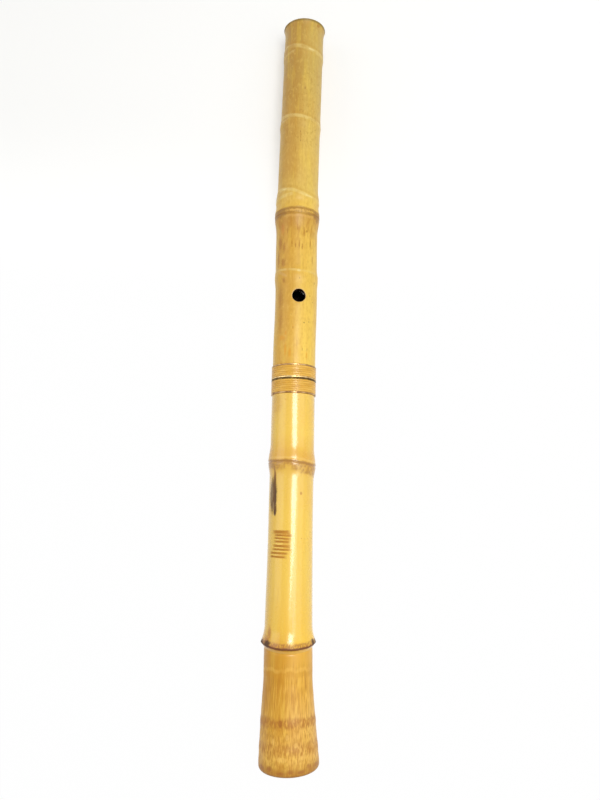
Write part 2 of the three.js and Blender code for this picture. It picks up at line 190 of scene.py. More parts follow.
# %% Empty groups and materials
def new_group(name, inputs, output):
    """An empty group with one output: (tree, recipe, its inputs by name, function that sets its result)."""
    tree = bpy.data.node_groups.new(name, "ShaderNodeTree")
    for label, kind, value in inputs:
        socket = tree.interface.new_socket(name=label, in_out="INPUT", socket_type=kind)
        if kind != "NodeSocketVector":
            socket.default_value = value
    tree.interface.new_socket(name=output, in_out="OUTPUT", socket_type="NodeSocketFloat")
    recipe = Recipe(tree)
    entry = recipe.add("NodeGroupInput")
    leave = recipe.add("NodeGroupOutput")
    given = {label: entry.outputs[label] for label, kind, value in inputs}
    return tree, recipe, given, lambda result: tree.links.new(result, leave.inputs[0])


def new_material(name):
    """A material with one Principled shader: (material, recipe, shader node)."""
    material = bpy.data.materials.new(name)
    material.use_nodes = True
    material.node_tree.nodes.clear()
    recipe = Recipe(material.node_tree)
    shader = recipe.add("ShaderNodeBsdfPrincipled")
    leave = recipe.add("ShaderNodeOutputMaterial", {0: shader.outputs[0]})
    shader.location, leave.location = (1700, 300), (2000, 300)
    return material, recipe, shader


print("materials that came with the frame:", len(bpy.data.materials))

# %% [markdown]
# ## The floor, the lamps and the sky
# The flute lies on white cloth in even light. The floor is a plain matt sheet. To the camera it also glows,
# which lifts it to white, most of all at the near end, where the picture is brightest. Round the mouth end
# the glow covers less and is a little warmer and stronger, so that the ground stays nearly white and some of
# the flute's shadow is left on it. Glossy things see that white floor too. From underneath it is clear,
# so that the front of the flute can be looked at. The light comes from four windows. The main one stands
# above and to the right, and draws the long bright line that a varnished tube shows: where that line falls
# gives the window's place, because a surface that leans 4 to 17 degrees reflects what stands 8 to 34 degrees
# off the vertical. A small one nearer the root widens that line, a broad one far to the right keeps the right
# flank clear, and one on the left does the same there, but weaker, so that the left side stays browner.

# %% White cloth
CLOTH = (0.89, 0.89, 0.89, 1)
WHITE, WARM_WHITE = (1, 1, 1, 1), (1, 0.995, 0.955, 1)
NEAR_GLOW, FAR_GLOW, FAR_GAIN = 0.98, 0.42, 0.13
FLOOR_HALF = 4


def seen_directly(recipe):
    """One for rays from the camera, a mirror or through glass, nought for rays that carry diffuse light."""
    path = recipe.add("ShaderNodeLightPath")
    either = recipe.math("MAXIMUM", path.outputs["Is Camera Ray"], path.outputs["Is Glossy Ray"])
    return recipe.math("MAXIMUM", either, path.outputs["Is Transmission Ray"])


def floor_glow(recipe):
    """Colour, strength and share of the glow, eased over y = 6 to 25 cm; 45 to 90 cm out the share is 1."""
    point = recipe.add("ShaderNodeTexCoord").outputs["Object"]
    towards_mouth = recipe.ease(recipe.add("ShaderNodeSeparateXYZ", {0: point}).outputs[1], 0.06, 0.25)
    tint = recipe.mix(towards_mouth, WHITE, WARM_WHITE)
    camera_only = recipe.add("ShaderNodeLightPath").outputs["Is Camera Ray"]
    gained = recipe.math("MULTIPLY", camera_only, towards_mouth)
    strength = recipe.math("MULTIPLY_ADD", gained, FAR_GAIN, 1.0)
    distance = recipe.add("ShaderNodeVectorMath", {0: point}, operation="LENGTH").outputs["Value"]
    by_the_flute = recipe.ease(towards_mouth, 0.0, 1.0, NEAR_GLOW, FAR_GLOW)
    lit = recipe.math("MAXIMUM", by_the_flute, recipe.ease(distance, 0.45, 0.9))
    return tint, strength, recipe.math("MULTIPLY", seen_directly(recipe), lit)


def floor_material():
    """White cloth: matt, with a glow that only straight and mirrored rays see, and clear from below."""
    material = bpy.data.materials.new("white_cloth")
    material.use_nodes = True
    material.node_tree.nodes.clear()
    recipe = Recipe(material.node_tree)
    cloth = recipe.add("ShaderNodeBsdfDiffuse", {"Color": CLOTH})
    tint, strength, share = floor_glow(recipe)
    glow = recipe.add("ShaderNodeEmission", {"Color": tint, "Strength": strength})
    top = recipe.add("ShaderNodeMixShader", {0: share, 1: cloth.outputs[0], 2: glow.outputs[0]})
    clear = recipe.add("ShaderNodeBsdfTransparent")
    below = recipe.add("ShaderNodeNewGeometry").outputs["Backfacing"]
    both = recipe.add("ShaderNodeMixShader", {0: below, 1: top.outputs[0], 2: clear.outputs[0]})
    recipe.add("ShaderNodeOutputMaterial", {0: both.outputs[0]})
    return material


floor_corners = [(-FLOOR_HALF, -FLOOR_HALF, 0), (FLOOR_HALF, -FLOOR_HALF, 0),
                 (FLOOR_HALF, FLOOR_HALF, 0), (-FLOOR_HALF, FLOOR_HALF, 0)]
floor_mesh = bpy.data.meshes.new("floor")
floor_mesh.from_pydata(floor_corners, [], [(0, 1, 2, 3)])
floor_mesh.materials.append(floor_material())
floor = bpy.data.objects.new("floor", floor_mesh)
bpy.context.scene.collection.objects.link(floor)
print("the glow covers", NEAR_GLOW, "of the cloth at the root end,", FAR_GLOW, "at the mouth end")

# %% The sky
SKY_LIGHT = 0.33
world = bpy.data.worlds.new("sky")
bpy.context.scene.world = world
world.use_nodes = True
world.node_tree.nodes.clear()
sky = Recipe(world.node_tree)
sky_strength = sky.ease(seen_directly(sky), 0.0, 1.0, SKY_LIGHT, 1.0)
backdrop = sky.add("ShaderNodeBackground", {"Color": WHITE, "Strength": sky_strength})
sky.add("ShaderNodeOutputWorld", {0: backdrop.outputs[0]})
bpy.context.scene.view_settings.view_transform = "Standard"
print("the sky lights with", SKY_LIGHT, "of the white that the camera sees")

# %% The four windows
def window(name, wide, long, place, lean, turn, radiance):
    """Rectangular lamp that faces down, leant about Y, then turned about Z; watts = radiance * pi * area."""
    light = bpy.data.lights.new(name, "AREA")
    light.shape = "RECTANGLE"
    light.size, light.size_y = wide, long
    light.energy = radiance * math.pi * wide * long
    lamp = bpy.data.objects.new(name, light)
    lamp.location = place
    lamp.rotation_euler = (0, math.radians(lean), math.radians(turn))
    bpy.context.scene.collection.objects.link(lamp)
    print(name, round(light.energy, 1), "W over", wide, "x", long, "m")


window("main_window", 0.50, 0.54, (0.275, 0.11, 1.22), 0, 20, 10.5)
window("near_window", 0.40, 0.42, (0.62, -0.20, 1.22), 0, 0, 2.4)
window("far_window", 1.20, 1.40, (1.30, -0.25, 1.25), 40, 0, 0.8)
window("left_window", 1.10, 1.10, (-1.30, 0.30, 0.80), -58, 0, 1.05)

# %% [markdown]
# ## The outline of the bamboo
# A culm of bamboo is a tube that swells a little at each node. The CAD model gives its outline as a plain
# radius with a swelling added at every node, and the same numbers are repeated here, so that the finer
# surface lies on the solid one. The solid has 36 flat sides. A round tube that stays within those flats is
# smaller by the cosine of half a side's angle, and that factor keeps it inside the CAD box.

# %% Nodes
RING_AT, SMOOTH_NODE_AT, REST_NODE_AT = 77.6, 201.4, 520.5
CREST_ROUNDING = 0.3

# place, rise, reach towards the mouth, reach towards the root, and whether the crest is keen
NODES = [
    (LENGTH, 1.20, 7.0, 7.0, True),
    (REST_NODE_AT, 0.30, 8.0, 8.0, False),
    (460.5, 0.45, 8.0, 8.0, False),
    (399.5, 0.95, 10.0, 10.0, False),
    (388.4, 1.50, 8.0, 16.0, False),
    (338.0, 0.60, 8.0, 8.0, False),
    (SMOOTH_NODE_AT, 1.30, 13.0, 10.5, False),
    (RING_AT, 2.35, 11.0, 4.0, True),
    (30.0, 0.20, 5.0, 5.0, False),
    (14.0, 0.20, 5.0, 5.0, False),
]


def smooth(t):
    """Smooth passage from 0 to 1: 3 t squared - 2 t cubed, held at both ends."""
    t = np.clip(t, 0, 1)
    return t * t * (3 - 2 * t)


def passage(low, high, t):
    """From one value to another by the smooth passage."""
    return low + (high - low) * smooth(t)


def swelling(at, node):
    """Rise of one node: a cosine bell, or (1 - t) squared at a keen crest, which is rounded by 0.3 mm."""
    place, rise, above, below, keen = node
    away = at - place
    far = np.abs(away)
    if keen and place < LENGTH:
        far = np.sqrt(away**2 + CREST_ROUNDING**2) - CREST_ROUNDING
    t = np.clip(far / np.where(away > 0, above, below), 0, 1)
    return rise * ((1 - t) ** 2 if keen else (1 + np.cos(np.pi * t)) / 2)


print(len(NODES), "nodes, the highest rises", max(node[1] for node in NODES), "mm")

# %% Radius
ROUND_IN_FLATS = math.cos(math.pi / 36)
NECK_AT, WAIST_AT = 55.0, 165.0
NECK_RADIUS, WAIST_RADIUS, JOINT_RADIUS, MOUTH_RADIUS = 17.0, 15.85, 15.75, 15.3
ROOT_FLARE, FLARE_LENGTH = 3.6, 50.0


def plain_radius(at):
    """The culm without nodes: a cone at the root, then easy passages from neck to waist, joint and mouth."""
    at = np.asarray(at, float)
    cone = NECK_RADIUS + ROOT_FLARE * np.clip((NECK_AT - at) / FLARE_LENGTH, 0, 1)
    neck = passage(NECK_RADIUS, WAIST_RADIUS, (at - NECK_AT) / (WAIST_AT - NECK_AT))
    waist = passage(WAIST_RADIUS, JOINT_RADIUS, (at - WAIST_AT) / (JOINT_AT - WAIST_AT))
    upper = passage(JOINT_RADIUS, MOUTH_RADIUS, (at - JOINT_AT) / (LENGTH - JOINT_AT))
    return np.select([at < NECK_AT, at < WAIST_AT, at < JOINT_AT], [cone, neck, waist], upper)


radii = [round(float(plain_radius(place)), 2) for place in (165, 388.4, 5)]
print("radius at the waist, the ridge and the root:", radii)

# %% Bend
BEND_LENGTH = 100
ROOT_LEAN, ROOT_DROP, ROOT_PULL = 2.2, 5, 1.7
BOW, BOW_AT, BOW_REACH = 0.6, 320, 40
MOUTH_LEAN, LEAN_LENGTH, LEAN_EASE = 2.8, 155, 30


def bend_share(at):
    """How much of the root's bend is reached: (100 - at) / 100, and nought beyond."""
    return np.maximum(BEND_LENGTH - np.asarray(at, float), 0) / BEND_LENGTH


def sideways(at):
    """Bend to the side: 2.2 * share squared at the root, a bow of 0.6 mm at 320, and 2.8 mm at the mouth."""
    at = np.asarray(at, float)
    bowed = BOW * (1 + np.cos(np.pi * np.clip(np.abs(at - BOW_AT) / BOW_REACH, 0, 1))) / 2
    past = np.maximum(at - (LENGTH - LEAN_LENGTH), 0)
    eased = np.where(past < LEAN_EASE, past**2 / (2 * LEAN_EASE), past - LEAN_EASE / 2)
    return ROOT_LEAN * bend_share(at) ** 2 + bowed + MOUTH_LEAN * eased / (LEAN_LENGTH - LEAN_EASE / 2)


def on_culm(side, at, up):
    """Point in metres beside the bent axis: the root drops by 5 * share squared, its rings square to it."""
    side, at, up = np.broadcast_arrays(*(np.asarray(x, float) for x in (side, at, up)))
    share = bend_share(at)
    slant = 2 / BEND_LENGTH * share * (ROOT_LEAN * side - ROOT_DROP * up)
    return in_frame(side + sideways(at), at - ROOT_PULL * share**2 + slant, up - ROOT_DROP * share**2)


print("the axis bends aside by", [round(float(sideways(s)), 2) for s in (0, BOW_AT, LENGTH)], "mm")

# %% Bore
MOUTH_BORE, JOINT_BORE, THROAT_BORE, ROOT_BORE, NATURAL_BORE = 10.2, 9.4, 8.3, 8.9, 11.2
ROOT_BORE_TOP, THROAT_AT, SOCKET_FOOT, TENON_TOP, LINING_TOP = 42, 110, 236.4, 278.4, 527


def bore_radius(at):
    """The bore narrows from the mouth to the joint, narrows again to the throat, and widens to the root."""
    at = np.asarray(at, float)
    root = passage(ROOT_BORE, THROAT_BORE, (at - ROOT_BORE_TOP) / (THROAT_AT - ROOT_BORE_TOP))
    throat = passage(THROAT_BORE, JOINT_BORE, (at - THROAT_AT) / (SOCKET_FOOT - THROAT_AT))
    upper_share = np.clip((at - TENON_TOP) / (LINING_TOP - TENON_TOP), 0, 1)
    upper = JOINT_BORE + (MOUTH_BORE - JOINT_BORE) * upper_share
    lengths = [at < ROOT_BORE_TOP, at < THROAT_AT, at < SOCKET_FOOT]
    return np.select(lengths, [ROOT_BORE + 0 * at, root, throat], upper)


bores = [round(float(bore_radius(place)), 2) for place in (0, 110, 527)]
print("bore radius at the root, the throat and the mouth:", bores)

# %% [markdown]
# ## The scar lines
# Each node of a bamboo carries the scar of its leaf sheath: a thin line that runs round the culm, rises or
# dips on one side, and often overlaps itself where the sheath's two edges met. The same line is needed
# twice, as a faint ridge in the surface and as a stripe in the colour. So each line is one row of numbers,
# and one formula turns it into a place along the flute for every turn round it:
# place = at + tilt * sin(turn - middle) + step * sin(bend) + bow * cos(bend), where the bend is
# the turn from the middle times a rate, held within a quarter turn either way.

# %% Lines round the culm: at, tilt, step, bow, middle (degrees), rate, from turn, to turn (degrees)
SCARS = {
    "first": (521.4, 0.0, -2.8, 0.0, -2, 1.6, -120, 400),
    "first_overlap": (518.4, 0.0, 1.3, 0.0, -32, 1.6, -400, -30),
    "second": (463.2, -0.4, -2.2, 0.0, 0, 1.2, -120, 400),
    "second_overlap": (461.8, 0.0, 1.6, 0.0, -52, 1.6, -400, -36),
    "shoulder": (401.9, 0.0, -3.6, 0.0, 2, 1.6, -120, 400),
    "shoulder_overlap": (399.3, 0.0, 1.6, 0.0, -40, 1.3, -400, -18),
    "ridge_upper": (387.9, 0.0, 0.0, 0.9, 5, 1.6, -400, 400),
    "ridge_lower": (385.5, 0.0, 0.0, -0.2, 5, 1.0, -400, 400),
    "fourth": (341.3, -1.0, 0.0, 0.0, 0, 1.0, -400, 400),
    "fifth": (201.1, -1.3, 0.0, 0.7, 5, 2.0, -400, 400),
    "ring": (79.6, 0.0, 0.0, -2.3, 2, 1.25, -400, 400),
}


def line_place(turn, line):
    """Place of a line at each turn, by the formula above."""
    at, tilt, step, bow, middle, rate = line[:6]
    away = turn - math.radians(middle)
    bend = np.clip(rate * away, -np.pi / 2, np.pi / 2)
    return at + tilt * np.sin(away) + step * np.sin(bend) + bow * np.cos(bend)


def bump(at, place, half):
    """A small bell, one at the place and nought at half its width either side."""
    t = np.clip(np.abs(at - place) / half, 0, 1)
    return (1 + np.cos(np.pi * t)) / 2


def within(turn, line):
    """One between a line's two end turns, fading over ten degrees."""
    degrees = np.degrees(turn)
    return smooth((degrees - line[6]) / 10 + 1) * smooth((line[7] - degrees) / 10 + 1)


print("the ring lies at", [round(float(line_place(math.radians(d), SCARS["ring"])), 1) for d in (-90, 0, 90)])

# %% [markdown]
# ## The skin of the culm
# The skin is a height over two parameters, the turn round the culm and the place along it. It starts from
# the outline. The ring and the fifth node follow their tilted scar lines, the scars stand out by a tenth of
# a millimetre, thin grooves lie beside the sharp ones, and the whole surface dips here and there by a
# little, because no culm is quite round. Nothing stands out of the CAD outline at the two places where the
# flute rests on the table.

# %% Height of the skin
TILTED_NODES = {RING_AT: "ring", SMOOTH_NODE_AT: "fifth"}
RAISED_SCARS = (
    "first", "first_overlap", "second", "second_overlap", "shoulder", "shoulder_overlap", "fourth")
SCAR_HEIGHT, SCAR_HALF = 0.13, 1.3
# line, shift from it, height (a groove's is negative), half width
BESIDE_LINES = [
    ("ridge_upper", 0.5, -0.22, 0.9), ("ridge_lower", 0.0, -0.30, 0.9), ("fifth", -0.3, -0.28, 0.8),
    ("fifth", 1.0, 0.10, 1.2), ("ring", -3.2, -0.25, 1.2),
]
ROOT_REST_AT, REST_REACH = 2.0, 9
INSIDE_FLATS, DIP_DEPTH = 0.04, 0.12


def unevenness(turn, at):
    """Two sums of sines in mm: slow dips all along the culm, and a finer roughness on the filed root."""
    dips = 0.05 * np.sin(2 * turn + at / 37) + 0.04 * np.sin(3 * turn - at / 23 + 1)
    dips = dips + 0.03 * np.sin(5 * turn + at / 11)
    rough = 0.05 * np.sin(9 * turn + at / 3.1) * np.sin(7 * turn - at / 2.3) * smooth((75 - at) / 15)
    return dips, rough


def skin_radius(turn, at):
    """Outline radius within the flats, plus the scars' small ridges and grooves, less the culm's dips."""
    radius = plain_radius(at)
    for node in NODES:
        line = TILTED_NODES.get(node[0])
        moved = at - (line_place(turn, SCARS[line]) - node[0]) if line else at
        radius = radius + swelling(moved, node)
    for name in RAISED_SCARS:
        line = SCARS[name]
        radius = radius + SCAR_HEIGHT * bump(at, line_place(turn, line), SCAR_HALF) * within(turn, line)
    for name, shift, height, half in BESIDE_LINES:
        radius = radius + height * bump(at, line_place(turn, SCARS[name]) + shift, half)
    dips, rough = unevenness(turn, at)
    rests = 1 - bump(at, REST_NODE_AT, REST_REACH) - bump(at, ROOT_REST_AT, REST_REACH)
    return radius * ROUND_IN_FLATS - INSIDE_FLATS - (DIP_DEPTH - dips - rough) * np.clip(rests, 0, 1)


above_hole = float(skin_radius(np.array(0.0), np.array(322.0)))
print("skin above the thumb hole:", round(above_hole, 2), "mm from the axis")

# %% Rows of the skin
FINE_PLACES = [node[0] for node in NODES] + [401.5, 385.8, 341.0, 464.0, 523.0, 76.5]
FINE_STEP, ADDED_STEP, SHORTEST_STEP = 0.3, 1.0, 0.1


def skin_rows(start, end):
    """Places of the rows: 1.3 mm apart, drawing together to 0.3 mm round every node."""
    at, rows = start, [start]
    while at < end:
        nearest = min(abs(at - place) for place in FINE_PLACES)
        at = at + FINE_STEP + ADDED_STEP * float(smooth((nearest - 4.0) / 6.0))
        rows.append(min(at, end))
    if rows[-1] - rows[-2] < SHORTEST_STEP:
        rows.pop(-2)
    return np.array(rows)


print("rows on the upper half:", len(skin_rows(271.8, 544.6)))
print("rows on the lower half:", len(skin_rows(2.4, 251.1)))

# %% [markdown]
# ## From rows and columns to a mesh
# Every surface below is a grid of points: rows along a profile, columns round an axis. One function joins
# neighbours into four-sided faces. It closes the grid round the axis, and if asked from the last row to the
# first, which makes the wall of a tube, or with a lid at each end, which makes a plug. Faces must look
# outwards, and the sign of the enclosed volume tells whether they do. A map named "place" stores the turn
# and the place of every corner, so that a material can put a mark where it belongs on the flute.

# %% Faces and their outward side
COLUMNS = 144


def turns_of(columns):
    """Turns of the columns, and one more at the end, from half a turn on the left to half on the right."""
    return np.linspace(-np.pi, np.pi, columns + 1)


def grid_faces(rows, columns, closed):
    """Corner numbers of the four-sided faces (row * columns + column) and the left column of each corner."""
    spans = rows if closed else rows - 1
    low, left = np.meshgrid(np.arange(spans), np.arange(columns), indexing="ij")
    high, right = (low + 1) % rows, (left + 1) % columns
    quads = np.stack([low * columns + left, low * columns + right,
                      high * columns + right, high * columns + left], -1)
    across = np.stack([left, left + 1, left + 1, left], -1)
    return quads.reshape(-1, 4), across.reshape(-1, 4)


def enclosed_volume(points, faces):
    """Sum over the faces' triangles of a . (b x c) / 6: positive if the faces look outwards."""
    total = 0.0
    for face in faces:
        corner = points[face]
        for k in range(1, face.shape[1] - 1):
            total += np.einsum("ij,ij->i", corner[:, 0], np.cross(corner[:, k], corner[:, k + 1])).sum() / 6
    return total


print("a tube of 3 rows and 4 columns has", len(grid_faces(3, 4, True)[0]), "faces")

# %% A grid as a piece
def grid_piece(name, points, turns, places, slots, materials, closed=True):
    """Object from a grid (rows, columns, 3); slots gives each row's material, places its place in mm."""
    rows, columns = points.shape[:2]
    quads, across = grid_faces(rows, columns, closed)
    places = np.broadcast_to(np.asarray(places, float).reshape(rows, -1), (rows, columns))
    u, along = turns[across] / (2 * np.pi) + 0.5, places.ravel()[quads]
    flat = points.reshape(-1, 3)
    first_lid = np.arange(columns)[::-1][None]
    last_lid = ((rows - 1) * columns + np.arange(columns))[None]
    lids = [] if closed else [first_lid, last_lid]
    if enclosed_volume(flat - flat.mean(0), [quads, *lids]) < 0:
        quads, u, along = quads[:, ::-1], u[:, ::-1], along[:, ::-1]
        lids = [lid[:, ::-1] for lid in lids]
    mesh = bpy.data.meshes.new(name)
    mesh.from_pydata(flat, [], quads.tolist() + [lid[0].tolist() for lid in lids])
    corners = np.zeros((len(mesh.loops), 2))
    corners[: quads.size, 0] = u.ravel()
    corners[: quads.size, 1] = along.ravel() * MM
    mesh.uv_layers.new(name="place").data.foreach_set("uv", corners.ravel())
    index = np.zeros(len(mesh.polygons), np.int32)
    index[: len(quads)] = np.repeat(np.asarray(slots)[: len(quads) // columns], columns)
    mesh.polygons.foreach_set("material_index", index)
    mesh.polygons.foreach_set("use_smooth", np.ones(len(mesh.polygons), bool))
    for material in materials:
        mesh.materials.append(material)
    mesh.update()
    piece = bpy.data.objects.new(name, mesh)
    bpy.context.scene.collection.objects.link(piece)
    return piece


def arc(radius, at, size, start, end, steps=6):
    """Points of a rounded edge: centre plus size * (sin, -cos) of an angle from start to end, in degrees."""
    angle = np.radians(np.linspace(start, end, steps))
    return [(radius + size * math.sin(a), at - size * math.cos(a)) for a in angle]


print("a rounded edge of 1 mm:", [(round(r, 2), round(a, 2)) for r, a in arc(10, 0, 1, 90, 180, 3)])


# %% [markdown]
# ## Cutting
# Holes, the sloping blowing edge and the pocket of its inlay are cut from the tubes with plugs, as a maker
# cuts them with a drill, a saw and a chisel. Blender's Boolean modifier does it. Its Manifold solver is
# quick and keeps the surfaces closed, and the cut faces take the materials of the plug, so a hole can be
# lacquered inside and bare at its rim. The result is stored as a plain mesh and edges sharper than 35
# degrees are kept sharp.

# %% A Boolean that leaves a plain mesh
SHARP_FROM = math.radians(35)


def carve(piece, tools, operation="DIFFERENCE"):
    """The piece with the tools cut away, or with only what it shares with them, as a plain mesh."""
    for tool in tools:
        cut = piece.modifiers.new("cut", "BOOLEAN")
        cut.operation = operation
        cut.solver = "MANIFOLD"
        cut.material_mode = "TRANSFER"
        cut.object = tool
    bpy.context.view_layer.update()
    made = bpy.data.meshes.new_from_object(piece.evaluated_get(bpy.context.evaluated_depsgraph_get()))
    piece.modifiers.clear()
    made.name = piece.name
    piece.data = made
    made.set_sharp_from_angle(angle=SHARP_FROM)
    print(piece.name, "has", len(made.polygons), "faces and materials", [m.name for m in made.materials])
    return piece


def discard(*tools):
    """Takes the plugs away again."""
    for tool in tools:
        bpy.data.objects.remove(tool)


# %% [markdown]
# ## Shared effects
# Four small effects are used by the finishes. Fibres are streaks that run along the culm: noise whose
# coordinates are stretched far more along the flute than across it. A round line is the scar line of the
# section above, as a mask. A mark is an oval or a bar at a turn and a place, with a ragged edge. Specks
# are tiny dots, thinly spread. Each is a node group, so it is wired once and used with other values.

# %% Fibres
def make_fibres():
    """Noise of (x, y, z) in mm divided by (across, along, across)."""
    inputs = [("Vector", "NodeSocketVector", None), ("Across", "NodeSocketFloat", 1.0),
              ("Along", "NodeSocketFloat", 30.0), ("Detail", "NodeSocketFloat", 2.0)]
    tree, recipe, given, result = new_group("fibres", inputs, "Value")
    millimetres = recipe.add("ShaderNodeVectorMath", {0: given["Vector"], "Scale": 1000.0}, operation="SCALE")
    size = recipe.add("ShaderNodeCombineXYZ", {0: given["Across"], 1: given["Along"], 2: given["Across"]})
    parts = {0: millimetres.outputs[0], 1: size.outputs[0]}
    squeezed = recipe.add("ShaderNodeVectorMath", parts, operation="DIVIDE")
    result(recipe.noise(squeezed.outputs[0], 1.0, given["Detail"]))
    return tree


fibres = make_fibres()
print(fibres.name, "has", len(fibres.nodes), "nodes")

# %% Scar lines as masks
LINE_INPUTS = ["Turn", "Place", "Ragged", "At", "Tilt", "Step", "Bow", "Middle", "Rate",
               "From turn", "To turn", "Half width"]
LINE_FADE = 0.17


def make_round_line():
    """Mask of a scar line: one within a third of its half width, easing to nought at its edge."""
    inputs = [(name, "NodeSocketFloat", 0.0) for name in LINE_INPUTS]
    tree, recipe, given, result = new_group("round_line", inputs, "Mask")
    away = recipe.math("SUBTRACT", given["Turn"], given["Middle"])
    quick = recipe.math("MULTIPLY", away, given["Rate"])
    bend = recipe.math("MAXIMUM", recipe.math("MINIMUM", quick, math.pi / 2), -math.pi / 2)
    tilted = recipe.math("MULTIPLY_ADD", recipe.math("SINE", away), given["Tilt"], given["At"])
    stepped = recipe.math("MULTIPLY_ADD", recipe.math("SINE", bend), given["Step"], tilted)
    bowed = recipe.math("MULTIPLY_ADD", recipe.math("COSINE", bend), given["Bow"], stepped)
    off = recipe.math("SUBTRACT", recipe.math("ADD", given["Place"], given["Ragged"]), bowed)
    core = recipe.math("MULTIPLY", given["Half width"], 0.3)
    line = recipe.ease(recipe.math("ABSOLUTE", off), given["Half width"], core)
    before = recipe.math("SUBTRACT", given["From turn"], LINE_FADE)
    after = recipe.math("ADD", given["To turn"], LINE_FADE)
    start = recipe.ease(given["Turn"], before, given["From turn"])
    end = recipe.ease(given["Turn"], after, given["To turn"])
    result(recipe.math("MULTIPLY", recipe.math("MULTIPLY", start, end), line))
    return tree


round_line = make_round_line()
print(round_line.name, "has", len(round_line.nodes), "nodes")

# %% Marks
MARK_INPUTS = [("Turn", 0), ("Place", 0), ("Ragged", 0), ("Centre turn", 0), ("Centre place", 0),
               ("Half turn", 0.1), ("Half length", 1), ("Slope", 0), ("Square", 0), ("Soft", 0.4)]


def make_mark():
    """Mask of an oval (square 0) or a bar (1): distance in half sizes plus raggedness, eased at one."""
    inputs = [(name, "NodeSocketFloat", float(value)) for name, value in MARK_INPUTS]
    tree, recipe, given, result = new_group("mark", inputs, "Mask")
    away = recipe.math("SUBTRACT", given["Turn"], given["Centre turn"])
    across = recipe.math("ABSOLUTE", recipe.math("DIVIDE", away, given["Half turn"]))
    middle = recipe.math("MULTIPLY_ADD", away, given["Slope"], given["Centre place"])
    off = recipe.math("SUBTRACT", given["Place"], middle)
    along = recipe.math("ABSOLUTE", recipe.math("DIVIDE", off, given["Half length"]))
    squares = recipe.math("MULTIPLY_ADD", across, across, recipe.math("MULTIPLY", along, along))
    oval = recipe.math("SQRT", squares)
    bar = recipe.math("MAXIMUM", across, along)
    shape = recipe.math("MULTIPLY_ADD", recipe.math("SUBTRACT", bar, oval), given["Square"], oval)
    inner = recipe.math("SUBTRACT", 1.0, given["Soft"])
    result(recipe.ease(recipe.math("ADD", shape, given["Ragged"]), 1.0, inner))
    return tree


mark = make_mark()
print(mark.name, "has", len(mark.nodes), "nodes")

# %% Specks
def make_specks():
    """Dots where the distance to a cell's point is small, kept only in cells whose own number is low."""
    inputs = [("Vector", "NodeSocketVector", None), ("Spacing", "NodeSocketFloat", 6.0),
              ("Size", "NodeSocketFloat", 0.08), ("Kept", "NodeSocketFloat", 0.3)]
    tree, recipe, given, result = new_group("specks", inputs, "Mask")
    inverse = recipe.math("DIVIDE", 1000.0, given["Spacing"])
    cells = recipe.add("ShaderNodeTexVoronoi", {"Vector": given["Vector"], "Scale": inverse})
    dot = recipe.ease(cells.outputs["Distance"], given["Size"], recipe.math("MULTIPLY", given["Size"], 0.4))
    number = recipe.add("ShaderNodeSeparateColor", {0: cells.outputs["Color"]}).outputs[0]
    result(recipe.math("MULTIPLY", dot, recipe.math("LESS_THAN", number, given["Kept"])))
    return tree


specks = make_specks()
print("groups:", [group.name for group in bpy.data.node_groups])

# %% [markdown]
# ## Reading the map in a material
# A bamboo finish needs to know three things about the point it colours: where it is in space, for noise;
# how far round the culm, in radians; and how far along the flute, in millimetres. The last two come from
# the map that was stored with the grid.

# %% Where a point lies on the flute
class OnFlute(Recipe):
    """A recipe that also knows the turn, the place and a few noises that many steps share."""

    def __init__(self, tree):
        super().__init__(tree)
        self.matt = []
        self.vector = self.add("ShaderNodeTexCoord").outputs["Object"]
        stored = self.add("ShaderNodeUVMap", uv_map="place").outputs[0]
        parts = self.add("ShaderNodeSeparateXYZ", {0: stored})
        centred = self.math("SUBTRACT", parts.outputs[0], 0.5)
        self.turn = self.math("MULTIPLY", centred, 2 * math.pi)
        self.place = self.math("MULTIPLY", parts.outputs[1], 1000.0)
        self.unrest = self.math("SUBTRACT", self.noise(self.vector, 900.0, 3.0), 0.5)
        self.wander = self.math("SUBTRACT", self.fibre(3.0, 400.0), 0.5)

    def fibre(self, across, along, detail=2.0):
        """Streaks of about this size in mm, with values from 0 to 1."""
        return self.group(fibres, Vector=self.vector, Across=across, Along=along, Detail=detail)

    def line(self, scar, half_width, ragged=0.8, shift=0.0):
        """Mask of one scar line, shifted along the flute if asked."""
        at, tilt, step, bow, middle, rate, start, end = scar
        push = self.math("MULTIPLY", self.wander, ragged)
        return self.group(
            round_line, Turn=self.turn, Place=self.place, Ragged=push,
            At=at + shift, Tilt=tilt, Step=step, Bow=bow, Middle=math.radians(middle), Rate=float(rate),
            From_turn=math.radians(start), To_turn=math.radians(end), Half_width=half_width)

    def mark(self, turn, place, half_turn, half_length, slope=0.0, square=0.0, soft=0.5, ragged=0.6):
        """Mask of one mark: turns in degrees, lengths in mm, slope in mm for each degree."""
        push = self.math("MULTIPLY", self.unrest, ragged)
        return self.group(
            mark, Turn=self.turn, Place=self.place, Ragged=push,
            Centre_turn=math.radians(turn), Centre_place=place, Half_turn=math.radians(half_turn),
            Half_length=half_length, Slope=math.degrees(slope), Square=square, Soft=soft)

    def any_of(self, masks):
        """The strongest of several masks."""
        masks = list(masks)
        result = masks[0]
        for other in masks[1:]:
            result = self.math("MAXIMUM", result, other)
        return result

    def marks(self, table, soft=0.5, ragged=0.6):
        """The strongest of a table of marks: turn, place, half turn, half length, and perhaps a slope."""
        return self.any_of(self.mark(*row, soft=soft, ragged=ragged) for row in table)

    def laid(self, base, mask, strength, tint):
        """Base colour with a tint laid over it where the mask is."""
        return self.mix(self.math("MULTIPLY", mask, strength), base, tint)


def along_stops(pairs):
    """Colour stops for a ramp over the flute's length, from (place in mm, screen colour) pairs."""
    return [(place / LENGTH, colour(*tint)) for place, tint in pairs]


def bamboo_shader(name):
    """A material whose recipe knows the flute: (material, recipe, shader)."""
    material, recipe, shader = new_material(name)
    return material, OnFlute(material.node_tree), shader


